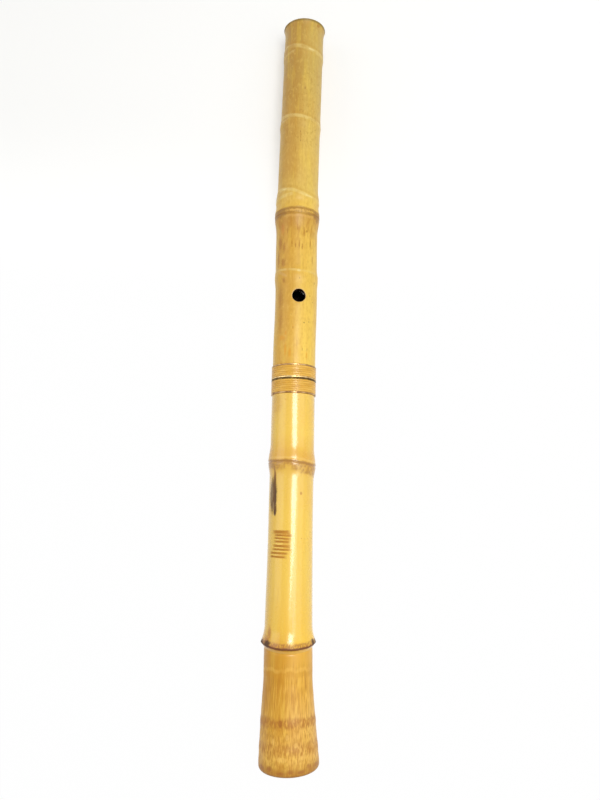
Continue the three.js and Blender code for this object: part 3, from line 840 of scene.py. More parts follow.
def dress(recipe, shader, base, roughness, height, strength, distance):
    """Links colour, roughness and a bump, whose full height is distance in metres, to a shader."""
    recipe.tree.links.new(base, shader.inputs["Base Color"])
    recipe.tree.links.new(roughness, shader.inputs["Roughness"])
    bump = recipe.add("ShaderNodeBump", {"Strength": strength, "Distance": distance, "Height": height})
    recipe.tree.links.new(bump.outputs[0], shader.inputs["Normal"])


print("the joint lies at", round(JOINT_AT / LENGTH, 3), "of a ramp over the flute's length")

# %% [markdown]
# ## The skin of the upper half
# The upper half is the older looking one: straw yellow with a satin sheen, browner on its left side and
# towards the mouth. Its first three nodes are trimmed flush and show as cream lines; the one below them was
# left, a brown double line with dark patches at its sides and brown fibres running down from it. Broad
# tones are laid first, then fibres, then single marks, the way a painter works from large to small.

# %% Tones of the upper half
BRIGHT_STRAW, STRAW, BURNT_STRAW = (246, 205, 88), (236, 195, 82), (206, 158, 60)
DULL_STRAW, OLD_STRAW, BROWN_STRAW = (222, 187, 90), (202, 170, 83), (194, 160, 74)
UPPER_TONES = [
    (285, BRIGHT_STRAW), (322, STRAW), (366, STRAW), (382, BURNT_STRAW), (391, STRAW),
    (405, DULL_STRAW), (432, DULL_STRAW), (500, OLD_STRAW), (532, OLD_STRAW), (544, BROWN_STRAW),
]
CREAM, LINE_BROWN, PINK = colour(238, 216, 136), colour(148, 98, 22), colour(218, 170, 88)
SIDE_BROWN, ORANGE, FLECK = colour(186, 130, 28), colour(222, 150, 16), colour(146, 96, 26)
print(len(UPPER_TONES), "tones along the upper half")

# %% Scar lines of the upper half
PALE_LINES = [("first", 2.5), ("second", 2.2), ("shoulder", 2.1), ("shoulder_overlap", 2.0)]
SHADED_LINES = ("second", "shoulder", "first")
# turn in degrees, place, half turn, half length, slope
# painted highlights: bright spots where the scar ridges and the fourth node catch the light
PAINTED_HIGHLIGHTS = [
    (24, 519.6, 11, 0.9, -0.04), (-38, 404.9, 9, 0.9), (33, 399.2, 14, 0.9, -0.03), (7.4, 340.7, 6.5, 1.3),
]


def scars_of_upper_half(recipe, base):
    """Cream scar lines, broken in places, a faint painted shade beside three of them, painted highlights, and
    the pale fourth node.
    """
    broken = recipe.ease(recipe.noise(recipe.vector, 170.0, 2.0), 0.38, 0.62, 0.3, 1.0)
    pale = recipe.any_of(recipe.line(SCARS[name], half) for name, half in PALE_LINES)
    weak = recipe.any_of(recipe.line(SCARS[name], 1.5) for name in ("first_overlap", "second_overlap"))
    pale = recipe.math("MAXIMUM", pale, recipe.math("MULTIPLY", weak, 0.6))
    base = recipe.laid(base, recipe.math("MULTIPLY", pale, broken), 0.42, CREAM)
    # painted shade: a faint brown line beside three of the scar ridges
    shade = recipe.any_of(recipe.line(SCARS[name], 1.8, shift=2.6) for name in SHADED_LINES)
    base = recipe.laid(base, shade, 0.16, SIDE_BROWN)
    # painted highlights on the scars and on the fourth node
    base = recipe.laid(base, recipe.marks(PAINTED_HIGHLIGHTS), 0.4, colour(248, 232, 164))
    fourth = recipe.math("MULTIPLY", recipe.line(SCARS["fourth"], 1.3), broken)
    base = recipe.laid(base, fourth, 0.4, CREAM)
    return recipe.laid(base, recipe.mark(-41, 339.0, 20, 1.6, -0.155), 0.4, colour(212, 170, 100))


print("pale lines:", [name for name, half in PALE_LINES])

# %% The ridge of the upper half
# each line as in SCARS: at, tilt, step, bow, middle (degrees), rate, from turn, to turn (degrees)
# a pale pink strip on the crest, laid only across the front, partly a painted highlight
CREST_STRIP_AND_HIGHLIGHT = (386.9, 0, 0, 0.4, 5, 1.6, -24, 30)
LOWER_STRIP = (383.0, 0, 0, 0.0, 5, 1.0, -30, 45)
STUBBLE_BAND = (386.6, 0, 0, 0.4, 5, 1.6, -400, 400)
LEFT_SIDE_BAND, RIGHT_SIDE_BAND = (385.9, 0, 0, 0.4, 5, 1.6, -400, -34), (385.4, 0, 0, 0.4, 5, 1.6, 52, 400)


def ridge_of_upper_half(recipe, base):
    """The untrimmed node: two ragged brown lines, a pale strip between that is partly a painted highlight,
    blots at the sides, fibres below.
    """
    under = recipe.ease(recipe.place, 387.0, 382.5)
    below = recipe.math("MULTIPLY", under, recipe.ease(recipe.place, 349.0, 376.0))
    down = recipe.ease(recipe.fibre(1.7, 6.5, 5.0), 0.44, 0.68)
    base = recipe.laid(base, recipe.math("MULTIPLY", below, down), 0.62, colour(184, 124, 28))
    # the crest's pale strip, partly a painted highlight
    base = recipe.laid(base, recipe.line(CREST_STRIP_AND_HIGHLIGHT, 1.7), 0.5, PINK)
    base = recipe.laid(base, recipe.line(LOWER_STRIP, 1.2, 1.4), 0.4, PINK)
    base = recipe.laid(base, recipe.line(SCARS["ridge_upper"], 1.6, 1.8, 0.2), 0.62, LINE_BROWN)
    off_middle = recipe.math("ABSOLUTE", recipe.math("SUBTRACT", recipe.turn, math.radians(5)))
    sides = recipe.ease(off_middle, math.radians(8), math.radians(34), 0.5, 1.1)
    lower_line = recipe.math("MULTIPLY", recipe.line(SCARS["ridge_lower"], 1.7, 2.2, -0.2), sides)
    base = recipe.laid(base, lower_line, 0.58, LINE_BROWN)
    stubble = recipe.ease(recipe.fibre(1.1, 1.6), 0.46, 0.60)
    band = recipe.math("MULTIPLY", recipe.line(STUBBLE_BAND, 3.0), stubble)
    base = recipe.laid(base, band, 0.45, LINE_BROWN)
    blots = recipe.any_of([
        recipe.line(LEFT_SIDE_BAND, 4.4, 2.0), recipe.line(RIGHT_SIDE_BAND, 4.0, 2.0),
        recipe.mark(-50, 384.6, 13, 3.4, -0.10, soft=0.7, ragged=0.8),
        recipe.mark(64, 383.0, 12, 3.2, -0.05, soft=0.7, ragged=1.0)])
    return recipe.laid(base, blots, 0.66, colour(150, 102, 24))


print("the ridge's lines lie at", SCARS["ridge_upper"][0], "and", SCARS["ridge_lower"][0])

# %% Marks on the upper half
# turn in degrees, place, half turn, half length
BROWN_BLOTS = [
    (-42, 375, 8, 5.5), (-50, 363, 12, 7.5), (-37, 359, 8, 6), (-38, 347.5, 12, 4.4), (-35, 333.9, 6, 3.0),
    (-57, 351, 8, 9), (140, 366, 9, 8),
]
BESIDE_HOLE = [(-47, 321, 17, 14), (-44, 304, 12, 14)]
DASHES = [
    (21.5, 371, 3.2, 4.5), (3, 374, 2.4, 3.2), (-12, 362, 3.0, 4.2), (-2, 359.8, 2.8, 3.4),
    (8, 361.0, 2.6, 4.6), (16.5, 359.4, 2.8, 3.4), (41.5, 362.5, 3.2, 5.0), (29, 371.6, 5, 1.4),
    (-25, 372, 3.2, 3.4), (50, 350, 2.4, 5),
]
ORANGE_STREAKS = [
    (-36, 290.6, 14, 2.6), (-24.5, 281.6, 5, 6.5), (-11.8, 279, 5.2, 4.6), (34.6, 278, 3.2, 3.4),
    (-5, 297.6, 2.2, 2.6), (-25, 294, 3.6, 2.4),
]
SMUDGES = [
    (-25, 489, 5, 5.0), (2.6, 447, 2.8, 4.6), (-33, 481, 5, 4), (-14, 478, 3, 5),
    (-40, 452, 6, 5), (-10, 436, 3, 4),
]
DOTS = [
    (9.6, 486.5, 2.4, 1.8), (3.1, 443.0, 1.8, 1.2), (2.0, 450.6, 1.8, 1.2), (9.1, 335, 1.6, 1.0),
    (59, 333.3, 2.0, 1.4), (40, 322.5, 2.2, 0.9), (50.3, 318.3, 2.0, 0.9), (24.4, 301.9, 4.2, 0.8),
    (39.2, 303.0, 2.0, 1.0), (21.7, 281.9, 1.4, 1.8), (36, 282, 1.4, 1.6), (-5, 297.8, 1.6, 1.4),
]


def marks_of_upper_half(recipe, base):
    """Red-brown and orange streaks and blots, each in its own place, the brown strip by the hole, and painted
    shade at the mouth's rim.
    """
    base = recipe.laid(base, recipe.marks(BROWN_BLOTS, 0.8, 1.0), 0.70, colour(170, 108, 20))
    base = recipe.laid(base, recipe.marks(BESIDE_HOLE, 0.9, 0.8), 0.52, colour(172, 112, 28))
    base = recipe.laid(base, recipe.marks(DASHES, 0.7, 0.9), 0.80, colour(178, 120, 22))
    patch = recipe.mark(-41, 373.5, 10, 6.5, soft=0.9, ragged=0.8)
    base = recipe.laid(base, patch, 0.45, colour(226, 152, 56))
    base = recipe.laid(base, recipe.marks(ORANGE_STREAKS, 0.7, 0.8), 0.62, ORANGE)
    base = recipe.laid(base, recipe.marks(SMUDGES, 0.8, 1.2), 0.4, colour(172, 120, 30))
    speckled = recipe.ease(recipe.fibre(1.6, 2.8, 3.0), 0.56, 0.66)
    region = recipe.math("MULTIPLY", recipe.ease(recipe.place, 425.0, 450.0),
                         recipe.ease(recipe.place, 515.0, 495.0))
    base = recipe.laid(base, recipe.math("MULTIPLY", region, speckled), 0.35, colour(172, 122, 34))
    base = recipe.laid(base, recipe.marks(DOTS, 0.7, 0.3), 0.6, FLECK)
    base = recipe.laid(base, recipe.mark(44, 542, 7, 1.6), 0.5, colour(160, 98, 20))
    # painted shade: the last two millimetres before the mouth's end darkened, where its rounded rim turns
    # from the light
    return recipe.laid(base, recipe.ease(recipe.place, 542.6, 544.3), 0.8, colour(120, 98, 24))


upper_marks = BROWN_BLOTS + BESIDE_HOLE + DASHES + ORANGE_STREAKS + SMUDGES + DOTS
print("single marks:", len(upper_marks))

# %% Straw skin with trimmed nodes
def straw_ground(recipe):
    """Broad tones along the flute, browner to the left, with clouds, mottling and fibres of three widths."""
    base = recipe.ramp(recipe.math("DIVIDE", recipe.place, LENGTH), along_stops(UPPER_TONES))
    left = recipe.math("MULTIPLY", recipe.ease(recipe.turn, math.radians(32), math.radians(-22)),
                       recipe.ease(recipe.turn, math.radians(-78), math.radians(-45), 0.4, 1.0))
    from_shoulder = recipe.math("ABSOLUTE", recipe.math("SUBTRACT", recipe.place, 399.0))
    node = recipe.ease(from_shoulder, 22.0, 8.0, 1.0, 0.5)
    base = recipe.mix(recipe.math("MULTIPLY", left, node), base, colour(228, 210, 192), "MULTIPLY")
    clouds = recipe.ease(recipe.noise(recipe.vector, 45.0, 3.0), 0.4, 0.72)
    base = recipe.laid(base, clouds, 0.16, colour(206, 150, 42))
    mottle = recipe.fibre(1.5, 3.2, 3.0)
    base = recipe.laid(base, recipe.ease(mottle, 0.50, 0.66), 0.2, colour(184, 130, 36))
    base = recipe.laid(base, recipe.ease(mottle, 0.46, 0.32), 0.16, colour(246, 214, 110))
    base = recipe.laid(base, recipe.ease(recipe.fibre(3.5, 30.0), 0.5, 0.72), 0.2, colour(244, 214, 78))
    return recipe.laid(base, recipe.ease(recipe.fibre(2.2, 24.0), 0.50, 0.32), 0.14, colour(206, 150, 40))


def upper_skin():
    """Old straw-coloured bamboo: tones, fine fibres, then lines, ridge, marks and freckles, in that order."""
    material, recipe, shader = bamboo_shader("upper_bamboo_skin")
    threads = recipe.fibre(0.7, 22.0, 3.0)
    base = recipe.laid(straw_ground(recipe), recipe.ease(threads, 0.5, 0.75), 0.22, SIDE_BROWN)
    for step in (scars_of_upper_half, ridge_of_upper_half, marks_of_upper_half):
        base = step(recipe, base)
    freckles = recipe.group(specks, Vector=recipe.vector, Spacing=5.5, Size=0.085, Kept=0.3)
    base = recipe.laid(base, freckles, 0.4, FLECK)
    worn = recipe.ease(recipe.noise(recipe.vector, 130.0, 3.0), 0.3, 0.8, 0.34, 0.46)
    dress(recipe, shader, base, worn, threads, 0.6, 0.00004)
    shader.inputs["IOR"].default_value = 1.45
    return material


upper_skin_material = upper_skin()
print(upper_skin_material.name, "has", len(upper_skin_material.node_tree.nodes), "nodes")

# %% [markdown]
# ## The skin of the lower half
# The lower half is golden and varnished. Its one smooth node carries a brown zone; below it a dark,
# feather-shaped stain runs down the left side, and further down lie eight short parallel scorch lines.
# The keen ring above the root is nearly black at its ends. Stain, scorches and ring have sunk into the skin
# and lost the varnish's gloss, so their masks are kept in a list and make the surface matt there. Below the
# ring the maker has filed the skin away, so the fibres of the wood show, and the crowded nodes of the root
# cross them as brown bands.

# %% Tones of the lower half
EDGE_BROWN, PALE_WOOD, WOOD = (210, 159, 60), (243, 191, 90), (231, 174, 55)
BRIGHT_GOLD, GOLD, DULL_GOLD, BROWN_GOLD = (248, 199, 56), (246, 203, 74), (240, 197, 78), (232, 178, 55)
LOWER_TONES = [
    (0, EDGE_BROWN), (5, EDGE_BROWN), (10, PALE_WOOD), (36, PALE_WOOD), (50, WOOD), (75, WOOD),
    (82, BRIGHT_GOLD), (110, GOLD), (165, GOLD), (190, DULL_GOLD), (204, BROWN_GOLD), (222, GOLD),
    (250, DULL_GOLD),
]
print(len(LOWER_TONES), "tones along the lower half")

# %% Stain and scorches
# turn in degrees, place, half turn, half length, slope
STAIN = [(-47, 188, 5.4, 10.5), (-53, 178.5, 18, 15.5, 0.06), (-44.5, 168.5, 7.5, 5)]
STAIN_INSIDE = [(-61, 180.0, 11, 10, 0.06), (-52, 171, 4.0, 4)]
STAIN_RIM = [(-44, 176.5, 4.0, 9.5, -0.05), (-45, 166.5, 5.0, 3.0)]
SINGED = [
    (-10, 152.0, 15, 2.6), (-8, 148.0, 9, 2.4), (-10, 145.2, 13, 2.4), (-8, 142.4, 11, 2.0),
    (-22, 138.0, 16, 1.8),
]
# left turn, left place, right turn, right place, half thickness in mm
SCORCHES = [
    (-53, 153.3, 5, 153.3, 1.5), (-50, 151.2, 10, 150.9, 1.0), (-50, 149.3, 7, 148.6, 0.9),
    (-49, 146.9, 5, 146.7, 1.0), (-52, 144.1, 6, 143.6, 1.1), (-55, 141.7, 8, 141.3, 0.9),
    (-64, 139.3, 1, 138.9, 0.95), (-64, 136.9, -3, 136.3, 0.9),
]


def scorch(recipe, left, low, right, high, thick):
    """Bar between two points on the skin: slope = rise in mm for each degree between them."""
    middle, half = (left + right) / 2, (right - left) / 2
    slope = (high - low) / (2 * half)
    return recipe.mark(middle, (low + high) / 2, half, thick, slope, square=1.0, soft=0.5, ragged=0.4)


def stain_and_scorches(recipe, base):
    """The feather-shaped stain with its dark edge, a painted highlight on the flank beside it, and eight
    scorch lines.
    """
    # painted highlight: a pale patch on the left flank beside the stain
    base = recipe.laid(base, recipe.mark(-67, 188.5, 6, 6), 0.5, colour(238, 208, 150))
    stain = recipe.marks(STAIN)
    base = recipe.laid(base, stain, 0.94, colour(92, 52, 8))
    base = recipe.laid(base, recipe.marks(STAIN_INSIDE), 0.7, colour(156, 130, 88))
    base = recipe.laid(base, recipe.mark(-46.5, 193.5, 3.4, 5.5), 0.65, colour(158, 100, 34))
    base = recipe.laid(base, recipe.marks(STAIN_RIM), 0.8, colour(72, 42, 10))
    burns = recipe.any_of(scorch(recipe, *row) for row in SCORCHES)
    recipe.matt += [stain, burns]
    base = recipe.laid(base, burns, 0.88, colour(174, 106, 4))
    base = recipe.laid(base, recipe.marks(SINGED), 0.42, colour(206, 142, 30))
    base = recipe.laid(base, recipe.mark(-20, 245.5, 5, 1.0, soft=0.9), 0.35, colour(200, 132, 30))
    base = recipe.laid(base, recipe.mark(-48, 243.0, 26, 9.0), 0.35, colour(206, 146, 30))
    spots = recipe.any_of([recipe.mark(26.3, 179.8, 4.8, 1.6, soft=0.7, ragged=0.2),
                           recipe.mark(29.7, 149.3, 1.6, 0.6), recipe.mark(15.4, 245.6, 1.4, 0.6)])
    return recipe.laid(base, spots, 0.75, colour(188, 122, 12))


print(len(SCORCHES), "scorch lines from place", SCORCHES[-1][3], "to", SCORCHES[0][1])

# %% The smooth node and the keen ring
# place, half width, from turn, to turn (degrees)
BROWN_ZONE = [
    (200.0, 3.2, -400, 400), (197.8, 3.6, -400, -20), (197.6, 4.0, 4, 400), (196.0, 3.4, 26, 400),
]
# turn in degrees, place, half turn, half length, slope
NODE_CORNER = [(-52, 199.0, 12, 2.2), (-72, 200.4, 12, 2.0)]
RING_PATCHES = [(-49, 86.5, 9, 6.5, -0.2), (-55, 82.5, 13, 3.4)]
RING_BLOTS = [
    (-50, 79.8, 13, 3.2), (-76, 80.0, 16, 2.4), (66, 80.6, 8, 3.2), (82, 79.8, 12, 3.4),
    (-130, 79.9, 16, 1.9), (150, 80.2, 12, 2.2),
]


def smooth_node(recipe, base):
    """The node of the lower half: a thin brown line, a painted highlight above it, and a mottled brown zone
    below it.
    """
    knots = recipe.ease(recipe.fibre(1.8, 2.2, 3.0), 0.40, 0.58, 0.45, 1.0)
    bands = [((at, -1.3, 0, 0.7, 5, 2.0, start, end), half) for at, half, start, end in BROWN_ZONE]
    zone = recipe.any_of(recipe.line(band, half, 2.0) for band, half in bands)
    base = recipe.laid(base, recipe.math("MULTIPLY", zone, knots), 0.80, colour(180, 124, 26))
    base = recipe.laid(base, recipe.line(SCARS["fifth"], 5.0, 2.0, 5.0), 0.35, colour(222, 166, 50))
    # painted highlight: a pale line on the node's slope, 2.4 mm above its brown line
    base = recipe.laid(base, recipe.line(SCARS["fifth"], 1.1, 0.6, 2.4), 0.3, colour(250, 208, 112))
    base = recipe.laid(base, recipe.line(SCARS["fifth"], 1.5, 1.2, 0.0), 0.75, colour(168, 112, 14))
    return recipe.laid(base, recipe.marks(NODE_CORNER, 0.7), 0.5, colour(160, 106, 20))


def keen_ring(recipe, base):
    """The ring: a dark edge, purple-black at its ends, reddish flecks and a painted highlight above it, a
    pale line below.
    """
    base = recipe.laid(base, recipe.marks(RING_PATCHES, 0.8, 0.9), 0.75, colour(186, 116, 8))
    flecks = recipe.ease(recipe.fibre(1.0, 2.2, 3.0), 0.36, 0.54)
    red = recipe.math("MULTIPLY", recipe.line(SCARS["ring"], 2.6, 1.6, 1.3), flecks)
    base = recipe.laid(base, red, 0.72, colour(158, 88, 24))
    dark = recipe.line(SCARS["ring"], 1.25, 1.2, -0.2)
    base = recipe.laid(base, dark, 0.95, colour(108, 54, 8))
    blots = recipe.marks(RING_BLOTS, 0.6, 0.7)
    recipe.matt += [dark, blots]
    base = recipe.laid(base, blots, 0.94, colour(70, 38, 8))
    # painted highlight: a near-white spot just above the ring
    base = recipe.laid(base, recipe.mark(5.7, 82.4, 4.0, 0.9), 0.6, colour(255, 240, 200))
    return recipe.laid(base, recipe.line(SCARS["ring"], 0.9, 0.8, -2.4), 0.35, colour(246, 206, 110))


print("the node lies at", SCARS["fifth"][0], "and the ring at", SCARS["ring"][0])

# %% The filed root
# each line as in SCARS
PALE_LINE, BROWN_LINE = (63.6, 0, 0, 0.2, 20, 1, -400, 400), (60.6, 0, 0, 0.2, 20, 1, -400, 400)
# place, half width, strength
ROOT_BANDS = [(31.0, 4.6, 0.85), (16.0, 5.2, 0.62)]
# turn in degrees, place, half turn, half length
ROOT_OVALS = [
    (-1, 23.9, 4.5, 2.3), (15.8, 19.2, 6, 1.9), (-30, 21, 4, 2.2), (-12, 11.0, 14, 2.0), (28, 11.4, 12, 1.9),
]
EDGE_PATCHES = [
    (-37, 4.9, 8, 2.2), (-14, 2.8, 11, 1.5), (4, 4.0, 7, 1.9), (24, 3.2, 10, 1.4), (41, 5.6, 8, 2.3),
    (-60, 4.0, 9, 2.0), (64, 4.6, 9, 2.0), (100, 3.4, 14, 2.0), (-110, 3.0, 16, 1.8),
]


def filed_wood(recipe, base):
    """Open wood below the ring: long light and dark fibres, clouds, a wavy pale line above a brown one."""
    filed = recipe.ease(recipe.place, 72.0, 60.0)
    near_end = recipe.ease(recipe.place, 36.0, 28.0)
    grain = recipe.mix(near_end, recipe.fibre(0.7, 13.0, 3.0), recipe.fibre(0.7, 4.5, 3.0))
    dark = recipe.math("MULTIPLY", filed, recipe.ease(grain, 0.49, 0.62))
    base = recipe.laid(base, dark, 0.62, colour(186, 122, 14))
    light = recipe.math("MULTIPLY", filed, recipe.ease(grain, 0.47, 0.34))
    base = recipe.laid(base, light, 0.44, colour(252, 206, 92))
    cloudy = recipe.ease(recipe.noise(recipe.vector, 110.0, 3.0), 0.42, 0.62)
    base = recipe.laid(base, recipe.math("MULTIPLY", filed, cloudy), 0.25, colour(200, 136, 20))
    faded = recipe.ease(cloudy, 0.0, 1.0, 1.0, 0.5)
    wavy = recipe.math("MULTIPLY", recipe.line(PALE_LINE, 1.9, 7.0), faded)
    base = recipe.laid(base, wavy, 0.32, colour(250, 202, 92))
    return recipe.laid(base, recipe.line(BROWN_LINE, 2.4, 7.0), 0.3, colour(208, 144, 18))


def root_marks(recipe, base):
    """Two mottled bands, scattered knots, a few pale ovals, and a darker edge with patches at the end."""
    knots = recipe.fibre(1.0, 4.2, 3.0)
    for at, half, strength in ROOT_BANDS:
        ragged_line = recipe.line((at, 0, 0, 0.6, 0, 1, -400, 400), half, 6.0)
        band = recipe.math("MULTIPLY", ragged_line, recipe.ease(knots, 0.38, 0.56, 0.25, 1.0))
        base = recipe.laid(base, band, strength, colour(178, 110, 14))
    scatter = recipe.math("MULTIPLY", recipe.ease(recipe.place, 30.0, 24.0), recipe.ease(knots, 0.50, 0.60))
    base = recipe.laid(base, scatter, 0.45, colour(188, 126, 22))
    base = recipe.laid(base, recipe.mark(-15, 32.0, 5.5, 2.6), 0.65, colour(160, 92, 4))
    base = recipe.laid(base, recipe.marks(ROOT_OVALS), 0.4, colour(252, 204, 104))
    edge = recipe.ease(recipe.math("MULTIPLY_ADD", recipe.wander, 6.0, recipe.place), 6.6, 3.0)
    base = recipe.laid(base, edge, 0.6, colour(172, 110, 24))
    base = recipe.laid(base, recipe.ease(recipe.place, 2.4, 0.6), 0.5, colour(150, 98, 26))
    return recipe.laid(base, recipe.marks(EDGE_PATCHES, 0.7, 1.0), 0.55, colour(156, 86, 20))


print("bands of the root at", [at for at, half, strength in ROOT_BANDS])

# %% Golden varnished skin
def golden_ground(recipe):
    """Broad tones along the flute, browner at the root's left, with clouds, yellow streaks and threads."""
    base = recipe.ramp(recipe.math("DIVIDE", recipe.place, LENGTH), along_stops(LOWER_TONES))
    left = recipe.ease(recipe.turn, math.radians(30), math.radians(-25))
    root = recipe.math("MULTIPLY", recipe.ease(recipe.place, 92.0, 78.0, 0.25, 1.0),
                       recipe.ease(recipe.place, 16.0, 30.0, 0.3, 1.0))
    base = recipe.mix(recipe.math("MULTIPLY", left, root), base, colour(228, 214, 134), "MULTIPLY")
    clouds = recipe.ease(recipe.noise(recipe.vector, 38.0, 3.0), 0.42, 0.74)
    base = recipe.laid(base, clouds, 0.18, colour(236, 176, 52))
    base = recipe.laid(base, recipe.ease(recipe.fibre(5.0, 50.0), 0.5, 0.75), 0.22, colour(248, 216, 84))
    threads = recipe.ease(recipe.fibre(0.8, 36.0, 3.0), 0.52, 0.8)
    return recipe.laid(base, threads, 0.16, colour(200, 140, 36))


def lower_skin():
    """Golden bamboo under varnish, filed and more matt towards the root, and matt where it was burnt."""
    material, recipe, shader = bamboo_shader("lower_bamboo_skin")
    base = golden_ground(recipe)
    for step in (smooth_node, stain_and_scorches, keen_ring, filed_wood, root_marks):
        base = step(recipe, base)
    freckles = recipe.group(specks, Vector=recipe.vector, Spacing=9.0, Size=0.05, Kept=0.25)
    base = recipe.laid(base, freckles, 0.4, FLECK)
    sunk = recipe.any_of(recipe.matt)
    filed = recipe.ease(recipe.place, 80.0, 60.0, 0.26, 0.44)
    uneven = recipe.ease(recipe.noise(recipe.vector, 150.0, 3.0), 0.45, 0.8, 0.0, 0.08)
    worn = recipe.math("MULTIPLY_ADD", sunk, 0.3, recipe.math("ADD", filed, uneven))
    open_grain = recipe.ease(recipe.place, 70.0, 58.0, 0.12, 1.0)
    depth = recipe.math("MULTIPLY", recipe.fibre(0.62, 8.0, 3.0), open_grain)
    dress(recipe, shader, base, worn, depth, 0.8, 0.0001)
    shader.inputs["IOR"].default_value = 1.5
    glossy = recipe.math("SUBTRACT", 1.0, sunk)
    varnish = recipe.math("MULTIPLY", recipe.ease(recipe.place, 74.0, 84.0, 0.0, 0.55), glossy)
    recipe.tree.links.new(varnish, shader.inputs["Coat Weight"])
    shader.inputs["Coat Roughness"].default_value = 0.12
    return material


lower_skin_material = lower_skin()
print(lower_skin_material.name, "has", len(lower_skin_material.node_tree.nodes), "nodes")

# %% [markdown]
# ## Cut bamboo, lacquer, horn, silver and rattan
# The other finishes are smaller. Cut bamboo shows the ends of its fibres as dark dots, crowded towards the
# skin. The bore and the holes are lacquered, nearly black, and the socket a dark red. The inlay is polished
# black horn with a faint grain. The edge rings are worn silver, browner where tarnish stays. The ring at the
# joint face of the upper half is a brighter copy of that silver, a painted highlight, and its neighbour on
# the lower half is a darker one. The rattan is split cane, varnished to a warm tan, with fine lines along
# each strand, which its own map follows.

# %% Cut bamboo and lacquer
def plain_shader(name):
    """A material that needs no map: (material, recipe, shader, position in metres)."""
    material, recipe, shader = new_material(name)
    return material, recipe, shader, recipe.add("ShaderNodeTexCoord").outputs["Object"]


def cut_bamboo():
    """End grain: dots of a cell noise in the plane across the flute, drawn out along it."""
    material, recipe, shader = bamboo_shader("cut_bamboo")
    size = recipe.add("ShaderNodeVectorMath", {0: recipe.vector, 1: (1.0, 0.12, 1.0)}, operation="MULTIPLY")
    cells = recipe.add("ShaderNodeTexVoronoi", {"Vector": size.outputs[0], "Scale": 1500.0})
    dots = recipe.ease(cells.outputs["Distance"], 0.42, 0.2)
    stops = [(0.3, colour(214, 168, 98)), (0.7, colour(232, 194, 128))]
    wood = recipe.ramp(recipe.noise(recipe.vector, 160.0, 3.0), stops)
    base = recipe.laid(wood, dots, 0.55, colour(150, 98, 48))
    dress(recipe, shader, base, recipe.ease(dots, 0.0, 1.0, 0.38, 0.55), dots, 0.5, 0.00006)
    return material


def lacquer(name, deep, bright, roughness):
    """Brushed lacquer: two close tones in long soft streaks, with a faint unevenness under the gloss."""
    material, recipe, shader, vector = plain_shader(name)
    streaks = recipe.group(fibres, Vector=vector, Across=2.5, Along=30.0)
    base = recipe.ramp(streaks, [(0.3, deep), (0.7, bright)])
    worn = recipe.ease(streaks, 0.3, 0.7, roughness, roughness + 0.1)
    dress(recipe, shader, base, worn, recipe.noise(vector, 300.0, 2.0), 0.4, 0.00005)
    shader.inputs["Coat Weight"].default_value = 0.5
    shader.inputs["Coat Roughness"].default_value = 0.08
    return material


cut_bamboo_material = cut_bamboo()
bore_lacquer = lacquer("dark_lacquer", colour(22, 12, 10), colour(44, 22, 17), 0.18)
socket_lacquer = lacquer("red_lacquer", colour(74, 20, 14), colour(108, 34, 22), 0.2)
print("inside:", cut_bamboo_material.name, bore_lacquer.name, socket_lacquer.name)

# %% Tenon and horn
def tenon_finish():
    """Lacquered bamboo: brown, with its fibres showing through."""
    material, recipe, shader, vector = plain_shader("lacquered_bamboo")
    threads = recipe.group(fibres, Vector=vector, Across=0.5, Along=14.0, Detail=3.0)
    stops = [(0.3, colour(122, 74, 34)), (0.5, colour(166, 112, 56)), (0.7, colour(190, 138, 76))]
    rubbed = recipe.ease(recipe.noise(vector, 220.0, 3.0), 0.5, 0.7)
    patches = recipe.math("MULTIPLY", rubbed, 0.4)
    base = recipe.mix(patches, recipe.ramp(threads, stops), colour(112, 64, 30))
    dress(recipe, shader, base, recipe.ease(rubbed, 0.0, 1.0, 0.28, 0.44), threads, 0.5, 0.00004)
    return material


def horn():
    """Polished black horn: faint brown streaks and a few fine scratches in its gloss."""
    material, recipe, shader, vector = plain_shader("black_horn")
    streaks = recipe.group(fibres, Vector=vector, Across=0.7, Along=5.0, Detail=3.0)
    stops = [(0.35, colour(22, 19, 18)), (0.6, colour(38, 31, 27)), (0.75, colour(66, 52, 40))]
    scratched = recipe.ease(recipe.noise(vector, 800.0, 4.0), 0.4, 0.8, 0.12, 0.3)
    dress(recipe, shader, recipe.ramp(streaks, stops), scratched, streaks, 0.3, 0.00002)
    return material


tenon_material = tenon_finish()
horn_material = horn()
print("tenon and inlay:", tenon_material.name, horn_material.name)

# %% Silver and rattan
def silver(name, bright, tarnish, share, roughness):
    """Worn metal: bright and tarnished tones in patches, finely scratched round the ring."""
    material, recipe, shader, vector = plain_shader(name)
    patches = recipe.noise(vector, 260.0, 4.0, 0.6)
    base = recipe.ramp(patches, [(share - 0.12, bright), (share + 0.12, tarnish)])
    worn = recipe.ease(patches, 0.35, 0.7, roughness, roughness + 0.25)
    scratches = recipe.group(fibres, Vector=vector, Across=4.0, Along=0.05)
    dress(recipe, shader, base, worn, scratches, 0.25, 0.00003)
    recipe.tree.links.new(recipe.ease(patches, share, share + 0.2, 0.95, 0.5), shader.inputs["Metallic"])
    return material


